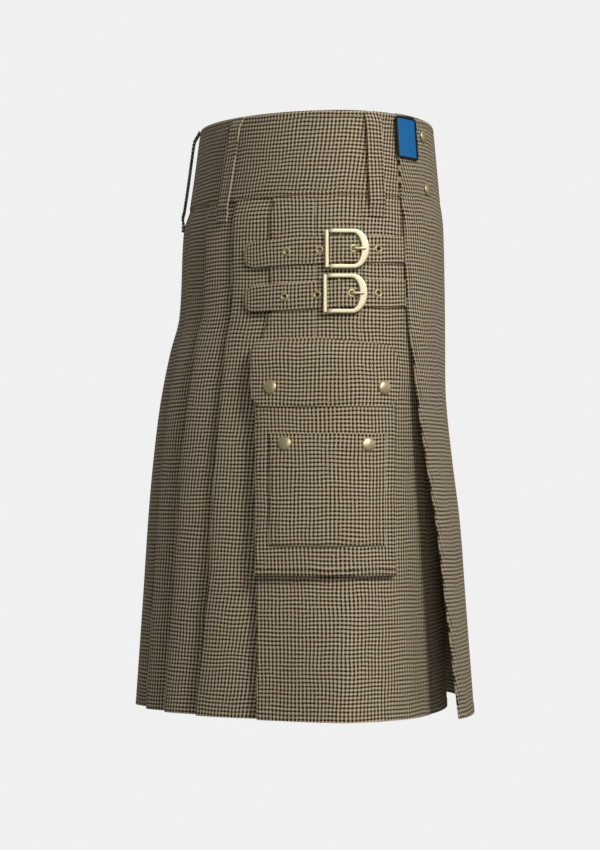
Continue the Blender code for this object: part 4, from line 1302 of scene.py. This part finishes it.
def make_pocket(side, hand):
    """A bellows pocket: front, bottom and two sides of cloth, open at the top."""
    skin = POCKET_CLOTH
    rim = (0.0, 0.0001, 0.0006, 0.0014, 0.0026, 0.0050)
    outer_share = (0.0, 0.50, 0.80, 0.93, 0.99, 1.0)
    columns_middle = spread(POCKET_REAR + 0.010, POCKET_FRONT - 0.010, 40)
    rows_middle = spread(POCKET_BOTTOM + 0.010, POCKET_TOP, 50)

    def grid(inset, full):
        """Points of the pocket's outer or inner face, and their rows' heights."""
        lifts = [LAY_GAP + (full - LAY_GAP) * share for share in outer_share]
        columns = [(POCKET_REAR + inset + edge, lift) for edge, lift in zip(rim, lifts)]
        columns += [(forward, full) for forward in columns_middle]
        columns += [(POCKET_FRONT - inset - edge, lift)
                    for edge, lift in reversed(list(zip(rim, lifts)))]
        rows = [(POCKET_BOTTOM + inset + edge, lift) for edge, lift in zip(rim, lifts)]
        rows += [(height, full) for height in rows_middle]
        result = []
        for height, row_lift in rows:
            line = []
            for forward, column_lift in columns:
                lift = min(row_lift, column_lift)
                swell = pocket_swell(height, forward) * (lift / full) ** 2
                line.append(side_point(height, forward, hand, lift + swell))
            result.append(line)
        return result, [row[0] for row in rows]

    outer, heights = grid(0.0, POCKET_DEPTH)
    inner, heights = grid(skin, POCKET_DEPTH - skin)
    cloth_piece(f"kilt_pocket_{side}", outer, inner, heights, f"pocket_{side}")


def patch_inset(height, forward):
    """How far a place of the patch pocket is from its nearest sewn edge."""
    return min(forward - PATCH_REAR, PATCH_FRONT - forward, height - PATCH_BOTTOM)


def patch_hem(height):
    """The patch pocket's turned top hem stands a little proud."""
    return 0.0003 * ease((height - (PATCH_TOP - PATCH_HEM)) / 0.0012)


def make_patch(side, hand):
    """The small patch pocket sewn flat on the cargo pocket."""
    columns = [PATCH_REAR, PATCH_REAR + 0.0006]
    columns += spread(PATCH_REAR + 0.003, PATCH_FRONT - 0.003, 36)
    columns += [PATCH_FRONT - 0.0006, PATCH_FRONT]
    rows = [PATCH_BOTTOM, PATCH_BOTTOM + 0.0006]
    rows += spread(PATCH_BOTTOM + 0.003, PATCH_TOP - 0.003, 36)
    rows += [PATCH_TOP - 0.0006, PATCH_TOP]
    under = POCKET_DEPTH + LAY_GAP

    def lift(height, forward):
        """How far the patch's face stands off a flat one."""
        inset = patch_inset(height, forward)
        edge = -0.0005 * (1 - ease(inset / 0.0008))
        swell = pocket_swell(height, forward)
        return swell + edge + patch_hem(height) + PATCH_FULL * ease(inset / 0.02)

    inner = [[side_point(height, forward, hand, under + pocket_swell(height, forward))
              for forward in columns] for height in rows]
    outer = [[side_point(height, forward, hand, under + POCKET_CLOTH + lift(height, forward))
              for forward in columns] for height in rows]
    cloth_piece(f"kilt_patch_pocket_{side}", outer, inner, rows, f"patch_pocket_{side}")


def flap_point(hand, forward, share, offset):
    """A point of a pocket flap: share runs from 0 at its free edge to 1 at its seam."""
    from_end = min(forward - FLAP_REAR, FLAP_FRONT - forward)
    bottom = FLAP_BOTTOM + max(0.0, FLAP_CHAMFER - from_end) * 0.9
    corner = max(0.0, 1 - from_end / FLAP_TOP_CORNER)
    top = FLAP_TOP - FLAP_TOP_DROP * max(0.0, forward / FLAP_FRONT)
    top -= FLAP_TOP_CORNER * (1 - math.sqrt(max(0.0, 1 - corner * corner)))
    height = bottom + (top - bottom) * share
    lift = smooth_table(FLAP_TABLE, "share", "lift", share)
    return side_point(height, forward, hand, lift + offset)


def make_flap(side, hand):
    """The pocket's flap: sewn to the panel above the pocket, then over the pocket's mouth."""
    ends = (0.0, 0.0006, 0.0016, 0.0032, 0.0050, 0.0072, 0.0095)
    columns = [FLAP_REAR + d for d in ends] + spread(FLAP_REAR + 0.013, FLAP_FRONT - 0.013, 40)
    columns += [FLAP_FRONT - d for d in reversed(ends)]
    shares = [0.0, 0.008, 0.03, 0.05, 0.07] + spread(0.10, 0.96, 30) + [0.98, 1.0]
    outer = []
    inner = []
    for share in shares:
        high = []
        low = []
        for forward in columns:
            from_edge = min(forward - FLAP_REAR, FLAP_FRONT - forward, share * 0.068)
            edge = -0.0005 * (1 - ease(from_edge / 0.0008))
            groove = -0.0003 * math.exp(-((from_edge - FLAP_ROW) / 0.0011) ** 2)
            high.append(flap_point(hand, forward, share, POCKET_CLOTH + 0.0004 + edge + groove))
            low.append(flap_point(hand, forward, share, 0.0))
        outer.append(high)
        inner.append(low)
    heights = [[point.z for point in row] for row in outer]
    cloth_piece(f"kilt_pocket_flap_{side}", outer, inner, heights, f"pocket_flap_{side}")


def make_snaps():
    """Two snaps on each flap and each patch pocket, and two that close the lap."""
    cap = snap_mesh()
    face = POCKET_DEPTH + LAY_GAP + POCKET_CLOTH + LAY_GAP
    for side, hand in SIDES:
        for place, (forward, height) in SNAP_PLACES.items():
            node = f"snap_{place}_{side}"
            place_copy(f"kilt_{node}", cap, antique_brass(), node,
                       surface_frame(height, forward, hand, face + SNAP_SEAT))
    lap_face = BAND_PROUD + LAP_RISE
    for name, height in zip(("upper", "lower"), BAND_SNAP_HEIGHTS):
        here = angle_point(height, BAND_SNAP_ANGLE, lap_face + LAY_GAP + 0.0002)
        beyond = angle_point(height, BAND_SNAP_ANGLE, lap_face + 0.01)
        above = angle_point(height + 0.01, BAND_SNAP_ANGLE, lap_face + LAY_GAP + 0.0002)
        out = (beyond - here).normalized()
        up = (above - here).normalized()
        along = up.cross(out).normalized()
        out = along.cross(up)
        place = Matrix.Translation(here) @ Matrix((along, up, out)).transposed().to_4x4()
        node = f"snap_waist_{name}"
        place_copy(f"kilt_{node}", cap, antique_brass(), node, place)


def make_tab():
    """A small plain woven tab on the waistband."""
    half = TAB_WIDTH / 2 / metres_per_degree(TAB_MIDDLE, TAB_ANGLE)
    radius = TAB_CORNER
    under = BAND_PROUD + LAP_RISE + LAY_GAP
    heights = spread(TAB_MIDDLE - TAB_HEIGHT / 2, TAB_MIDDLE + TAB_HEIGHT / 2, 28)
    outer = []
    inner = []
    for height in heights:
        from_end = min(height - heights[0], heights[-1] - height)
        corner = max(0.0, 1 - from_end / radius)
        rounding = 1 - math.sqrt(max(0.0, 1 - corner * corner))
        reach = half * (1 - radius / (TAB_WIDTH / 2) * rounding)
        turns = spread(TAB_ANGLE - reach, TAB_ANGLE + reach, TAB_STEPS)
        inner.append([angle_point(height, turn, under) for turn in turns])
        row = []
        for step, turn in enumerate(turns):
            from_side = min(step, TAB_STEPS - step) / TAB_STEPS * TAB_WIDTH
            border = 0.0003 * (1 - ease((min(from_side, from_end) - 0.0022) / 0.0010))
            row.append(angle_point(height, turn, under + TAB_CLOTH - 0.0003 + border))
        outer.append(row)
    cloth_piece("kilt_waist_tab", outer, inner, heights, "waist_tab",
                material=tab_cloth())


def stitch_line(shape, points, outs):
    """Lay one row of stitches along a line of points with outward directions."""
    sizes = bpy.context.scene.kilt_sizes
    distances = row_distances(points)
    pace = sizes.stitch + sizes.stitch_gap
    count = int(distances[-1] / pace)
    slot = 0
    for n in range(count):
        ends = []
        for at in (n * pace, n * pace + sizes.stitch / 2, n * pace + sizes.stitch):
            while slot < len(distances) - 2 and distances[slot + 1] < at:
                slot += 1
            span = distances[slot + 1] - distances[slot]
            share = min(max((at - distances[slot]) / span, 0.0), 1.0)
            point = points[slot].lerp(points[slot + 1], share)
            ends.append((point, outs[slot].lerp(outs[slot + 1], share)))
        add_stitch(shape, ends, sizes.thread)


def add_stitch(shape, ends, radius):
    """One stitch: a short bowed thread whose ends dip into the cloth."""
    run = (ends[2][0] - ends[0][0]).normalized()
    rings = []
    for (point, out), share, rise in zip(ends, (0.6, 1.0, 0.6), (-0.5, 0.35, -0.5)):
        wide = run.cross(out).normalized()
        ring = []
        for k in range(5):
            turn = 2 * math.pi * k / 5
            lift = out * (radius * (rise + share * math.sin(turn)))
            ring.append(shape.verts.new(point + lift + wide * (radius * share * math.cos(turn))))
        rings.append(ring)
    for lower, upper in zip(rings, rings[1:]):
        for k in range(5):
            shape.faces.new((lower[k], lower[(k + 1) % 5], upper[(k + 1) % 5], upper[k]))
    shape.faces.new(rings[0])
    shape.faces.new(rings[-1])


def sew(name, lines):
    """One mesh of stitches; each line is a surface function and its list of places."""
    shape = bmesh.new()
    for surface, places in lines:
        points = [surface(*place, 0.0) for place in places]
        outs = [(surface(*place, 0.001) - point).normalized()
                for place, point in zip(places, points)]
        stitch_line(shape, points, outs)
    mesh = smooth_mesh(name, shape, 60)
    new_piece(name, mesh, sewing_thread())


def sew_band():
    """Two rows along the waistband, and one up its free end."""
    def band(height, turn, offset):
        return angle_point(height, turn, band_rise(turn) + band_face(height) + offset)

    lines = []
    turns = spread(BAND_INNER_END + 90, BAND_OUTER_END - 1.5, 500)
    for height in BAND_ROWS:
        lines.append((band, [(height, turn) for turn in turns]))
    end = [(height, BAND_OUTER_END - 1.8)
           for height in spread(BAND_BOTTOM + 0.006, KILT_LENGTH - 0.007, 40)]
    lines.append((band, end))
    sew("kilt_stitching_waistband", lines)


def sew_aprons():
    """The apron's free edge, its sewn edge, and the hems of both aprons."""
    lines = []
    rows = spread(0.010, BAND_BOTTOM - 0.006, 90)
    free = [(height, edge_angle(APRON_FREE_EDGE, height) - APRON_ROW_TURN) for height in rows]
    sewn = [(height, APRON_ROW_TURN - edge_angle(APRON_SEWN_EDGE, height)) for height in rows]
    lines += [(apron_point, free), (apron_point, sewn)]
    left = 2.6 - edge_angle(APRON_SEWN_EDGE, 0.0)
    right = edge_angle(APRON_FREE_EDGE, 0.0) - 2.6
    lines.append((apron_point, [(HEM_ROW, turn) for turn in spread(left, right, 200)]))
    lines.append((angle_point, [(HEM_ROW, turn) for turn in spread(-40, 37, 160)]))
    sew("kilt_stitching_aprons", lines)


def sew_panels():
    """Side panels: the hem, and the stitched tucks that run down the yoke."""
    for side, hand in SIDES:
        layer = side_layer(hand)

        def panel(height, turn, offset, layer=layer):
            plan = at_angle(height, turn, layer)
            return angle_point(height, turn, panel_ridge(height, plan.x) + offset, layer)

        def at_place(height, forward, offset, hand=hand):
            return side_point(height, forward + 0.0016, hand, offset)

        front = UNDER_APRON_SEAM + 1 if hand > 0 else edge_angle(APRON_SEWN_EDGE, 0.0) - 4
        rear = edge_angle(PANEL_REAR, 0.0) - 0.6
        hem = [(HEM_ROW, hand * turn) for turn in spread(front, rear, 260)]
        lines = [(panel, hem)]
        yoke = spread(0.385, BAND_BOTTOM - 0.003, 60)
        seam = [(height, hand * (edge_angle(PANEL_REAR, height) - 0.8)) for height in yoke]
        lines.append((panel, seam))
        for forward in YOKE_TUCKS:
            lines.append((at_place, [(height, forward) for height in yoke]))
        sew(f"kilt_stitching_side_panel_{side}", lines)


def pleat_face(height, share, edge_index, hand, offset):
    """A point on a pleat's face near its fold edge; share is metres in from the edge."""
    edge = PLEAT_EDGES[edge_index]
    turn = edge_angle(edge, height)
    speed = metres_per_degree(height, turn, 0.5)
    depth = 0.12 * share
    return angle_point(height, hand * (turn - share / speed), offset - depth)


def sew_pleats():
    """Each pleat is stitched down close to its fold over the hips."""
    lines = []
    yoke = spread(0.400, BAND_BOTTOM - 0.004, 60)
    for _, hand in SIDES:
        for index in (1, 2, 3):
            def pleat(height, share, offset, index=index, hand=hand):
                return pleat_face(height, share, index, hand, offset)
            lines.append((pleat, [(height, PLEAT_ROW) for height in yoke]))
    sew("kilt_stitching_pleats", lines)


def sew_loops():
    """Two rows down each belt loop."""
    lines = []
    rows = spread(LOOP_TABLE[0].height + 0.002, LOOP_TABLE[-1].height - 0.001, 60)
    for name in LOOP_ANGLES:
        def loop(height, across, offset, name=name):
            return loop_point(name, height, across, LOOP_CLOTH + offset)
        for across in (-LOOP_ROW, LOOP_ROW):
            lines.append((loop, [(height, across) for height in rows]))
    sew("kilt_stitching_belt_loops", lines)


def sew_straps():
    """One row round each strap, close to its edge."""
    lines = []
    for _, hand in SIDES:
        for strap in STRAPS:
            def strap_top(forward, across, offset, strap=strap, hand=hand):
                return strap_point(strap, hand, forward, across, STRAP_CLOTH - 0.0002 + offset)
            rear = STRAP_REAR + 0.003
            stations = spread(rear, STRAP_FRONT - 0.001, 120)
            for across in (-STRAP_ROW, STRAP_ROW):
                lines.append((strap_top, [(forward, across) for forward in stations]))
            lines.append((strap_top, [(rear, across) for across in spread(-0.70, 0.70, 12)]))
    sew("kilt_stitching_straps", lines)


def sew_pockets():
    """Double rows down the pocket's sides and bottom, and rows round its patch and flap."""
    for side, hand in SIDES:
        def pocket(height, forward, offset, hand=hand):
            lift = POCKET_DEPTH + pocket_swell(height, forward)
            return side_point(height, forward, hand, lift + offset)

        def patch(height, forward, offset, hand=hand):
            lift = POCKET_DEPTH + LAY_GAP + POCKET_CLOTH + pocket_swell(height, forward)
            lift = lift + patch_hem(height) + PATCH_FULL * ease(patch_inset(height, forward) / 0.02)
            return side_point(height, forward, hand, lift + offset)

        def flap(forward, share, offset, hand=hand):
            return flap_point(hand, forward, share, POCKET_CLOTH + 0.0001 + offset)

        lines = []
        rows = spread(POCKET_BOTTOM + 0.006, FLAP_BOTTOM, 60)
        columns = spread(POCKET_REAR + 0.006, POCKET_FRONT - 0.006, 50)
        for forward in (POCKET_REAR + POCKET_ROW, POCKET_FRONT - POCKET_ROW):
            lines.append((pocket, [(height, forward) for height in rows]))
        lines.append((pocket, [(POCKET_BOTTOM + POCKET_ROW, forward) for forward in columns]))
        rows = spread(PATCH_BOTTOM + 0.0025, PATCH_TOP - 0.001, 50)
        columns = spread(PATCH_REAR + 0.0025, PATCH_FRONT - 0.0025, 50)
        for inset in PATCH_ROWS:
            for forward in (PATCH_REAR + inset, PATCH_FRONT - inset):
                lines.append((patch, [(height, forward) for height in rows]))
        lines.append((patch, [(PATCH_BOTTOM + PATCH_ROWS[0], forward) for forward in columns]))
        lines.append((patch, [(PATCH_TOP - 0.0175, forward) for forward in columns]))
        columns = spread(FLAP_REAR + FLAP_ROW, FLAP_FRONT - FLAP_ROW, 60)
        lines.append((flap, [(forward, 0.066) for forward in columns]))
        lines.append((flap, [(forward, 0.955) for forward in columns]))
        shares = spread(0.085, 0.93, 40)
        for forward in (FLAP_REAR + FLAP_ROW, FLAP_FRONT - FLAP_ROW):
            lines.append((flap, [(forward, share) for share in shares]))
        sew(f"kilt_stitching_pocket_{side}", lines)


def sew_tab():
    """One row round the waist tab."""
    half = TAB_WIDTH / 2 / metres_per_degree(TAB_MIDDLE, TAB_ANGLE) * 0.90
    tall = TAB_HEIGHT / 2 - 0.0018
    low = TAB_MIDDLE - tall
    high = TAB_MIDDLE + tall

    def tab_top(height, turn, offset):
        return angle_point(height, turn, BAND_PROUD + LAP_RISE + LAY_GAP + TAB_CLOTH + offset)

    lines = []
    for height in (low, high):
        turns = spread(TAB_ANGLE - half, TAB_ANGLE + half, 20)
        lines.append((tab_top, [(height, turn) for turn in turns]))
    for turn in (TAB_ANGLE - half, TAB_ANGLE + half):
        lines.append((tab_top, [(height, turn) for height in spread(low, high, 20)]))
    sew("kilt_stitching_tab", lines)


def aim(thing, place, target):
    """Put a lamp or camera in place, looking at a target."""
    thing.location = place
    thing.rotation_euler = (Vector(target) - Vector(place)).to_track_quat("-Z", "Y").to_euler()


def add_lamp(name, place, target, size, power):
    """A soft square area lamp."""
    data = bpy.data.lights.new(name, "AREA")
    data.size = size
    data.energy = power
    lamp = bpy.data.objects.new(name, data)
    bpy.context.scene.collection.objects.link(lamp)
    aim(lamp, place, target)


def add_studio_glow(tree, strength):
    """Full strength where the camera looks straight at it, and little light on the kilt."""
    path = tree.nodes.new("ShaderNodeLightPath")
    seen = maths(tree, "MULTIPLY", path.outputs["Is Camera Ray"], 1 - AMBIENT)
    tree.links.new(maths(tree, "ADD", seen, AMBIENT), strength)


def make_stage():
    """A pale floor and backdrop, soft lamps and the camera of the photograph."""
    scene = bpy.context.scene
    pale = scene.kilt_colours.studio
    hem = -WAIST_LEVEL
    world = bpy.data.worlds.new("studio")
    scene.world = world
    world.use_nodes = True
    tree = world.node_tree
    background = tree.nodes["Background"]
    background.inputs["Color"].default_value = (*pale, 1.0)
    add_studio_glow(tree, background.inputs["Strength"])
    material, tree, shader = node_tree("studio_floor")
    tree.nodes.remove(shader)
    glow = tree.nodes.new("ShaderNodeEmission")
    glow.inputs["Color"].default_value = (*pale, 1.0)
    add_studio_glow(tree, glow.inputs["Strength"])
    tree.links.new(glow.outputs[0], tree.nodes["Material Output"].inputs["Surface"])
    shape = bmesh.new()
    bmesh.ops.create_grid(shape, x_segments=1, y_segments=1, size=6.0)
    mesh = bpy.data.meshes.new("studio_floor")
    shape.to_mesh(mesh)
    shape.free()
    mesh.materials.append(material)
    floor = bpy.data.objects.new("studio_floor", mesh)
    floor.location.z = hem - FLOOR_DROP
    scene.collection.objects.link(floor)
    middle = (0.0, 0.0, hem + KILT_LENGTH / 2)
    for lamp in LAMPS:
        add_lamp(lamp.name, lamp.place, middle, lamp.size, lamp.power)
    data = bpy.data.cameras.new("camera")
    data.lens = CAMERA_LENS
    data.sensor_width = 36.0
    camera = bpy.data.objects.new("camera", data)
    scene.collection.objects.link(camera)
    place = Vector((-CAMERA_DISTANCE, -CAMERA_FORWARD, hem + CAMERA_ABOVE_HEM))
    ahead = Vector((1.0, 0.0, math.tan(math.radians(CAMERA_PITCH))))
    aim(camera, place, place + ahead)
    scene.camera = camera
    scene.view_settings.view_transform = "Standard"


class KILT_OT_stage(bpy.types.Operator):
    """Set up the floor, lamps and camera"""

    bl_idname = "kilt.stage"
    bl_label = "Stage"

    def execute(self, context):
        make_stage()
        return {"FINISHED"}


class KILT_OT_waistband(bpy.types.Operator):
    """Make the waistband"""

    bl_idname = "kilt.waistband"
    bl_label = "Waistband"

    def execute(self, context):
        make_waistband()
        return {"FINISHED"}


class KILT_OT_aprons(bpy.types.Operator):
    """Make the front apron and the under apron"""

    bl_idname = "kilt.aprons"
    bl_label = "Aprons"

    def execute(self, context):
        make_aprons()
        return {"FINISHED"}


class KILT_OT_side_panels(bpy.types.Operator):
    """Make the two side panels"""

    bl_idname = "kilt.side_panels"
    bl_label = "Side panels"

    def execute(self, context):
        for side, hand in SIDES:
            make_side_panel(f"kilt_side_panel_{side}", f"side_panel_{side}", hand)
        return {"FINISHED"}


class KILT_OT_pleats(bpy.types.Operator):
    """Make the pleated back"""

    bl_idname = "kilt.pleats"
    bl_label = "Pleated back"

    def execute(self, context):
        make_pleats()
        return {"FINISHED"}


class KILT_OT_belt_loops(bpy.types.Operator):
    """Make the belt loops"""

    bl_idname = "kilt.belt_loops"
    bl_label = "Belt loops"

    def execute(self, context):
        make_belt_loops()
        return {"FINISHED"}


class KILT_OT_straps(bpy.types.Operator):
    """Make the hip straps"""

    bl_idname = "kilt.straps"
    bl_label = "Hip straps"

    def execute(self, context):
        for side, hand in SIDES:
            for strap in STRAPS:
                make_strap(strap, side, hand)
        return {"FINISHED"}


class KILT_OT_fittings(bpy.types.Operator):
    """Make the buckles, prongs, eyelets and snaps"""

    bl_idname = "kilt.fittings"
    bl_label = "Brass fittings"

    def execute(self, context):
        make_buckles()
        make_eyelets()
        make_snaps()
        return {"FINISHED"}


class KILT_OT_pockets(bpy.types.Operator):
    """Make the cargo pockets, their patch pockets and their flaps"""

    bl_idname = "kilt.pockets"
    bl_label = "Pockets"

    def execute(self, context):
        for side, hand in SIDES:
            make_pocket(side, hand)
            make_patch(side, hand)
            make_flap(side, hand)
        return {"FINISHED"}


class KILT_OT_tab(bpy.types.Operator):
    """Make the plain waist tab"""

    bl_idname = "kilt.tab"
    bl_label = "Waist tab"

    def execute(self, context):
        make_tab()
        return {"FINISHED"}


class KILT_OT_stitching(bpy.types.Operator):
    """Sew every visible row of stitches"""

    bl_idname = "kilt.stitching"
    bl_label = "Stitching"

    def execute(self, context):
        sew_band()
        sew_aprons()
        sew_panels()
        sew_pleats()
        sew_loops()
        sew_straps()
        sew_pockets()
        sew_tab()
        return {"FINISHED"}


OPERATORS = (
    KILT_OT_stage, KILT_OT_waistband, KILT_OT_aprons, KILT_OT_side_panels, KILT_OT_pleats,
    KILT_OT_belt_loops, KILT_OT_straps, KILT_OT_fittings, KILT_OT_pockets, KILT_OT_tab, KILT_OT_stitching,
)


class KILT_PT_panel(bpy.types.Panel):
    """Lists the kilt's sizes, colours and pieces"""

    bl_idname = "KILT_PT_panel"
    bl_label = "Utility Kilt"
    bl_space_type = "VIEW_3D"
    bl_region_type = "UI"
    bl_category = "Kilt"

    def draw(self, context):
        for group in (context.scene.kilt_sizes, context.scene.kilt_colours):
            for name in type(group).__annotations__:
                self.layout.prop(group, name)
        for operator in OPERATORS:
            self.layout.operator(operator.bl_idname)


CLASSES = (KiltSizes, KiltColours) + OPERATORS + (KILT_PT_panel,)


def register():
    """Register every class and the two groups of settings."""
    for cls in CLASSES:
        bpy.utils.register_class(cls)
    bpy.types.Scene.kilt_sizes = PointerProperty(type=KiltSizes)
    bpy.types.Scene.kilt_colours = PointerProperty(type=KiltColours)


def unregister():
    """Take the settings and classes away again."""
    del bpy.types.Scene.kilt_sizes
    del bpy.types.Scene.kilt_colours
    for cls in reversed(CLASSES):
        bpy.utils.unregister_class(cls)


def main():
    """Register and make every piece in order."""
    register()
    for operator in OPERATORS:
        group, name = operator.bl_idname.split(".")
        getattr(getattr(bpy.ops, group), name)()


if __name__ == "__main__":
    main()
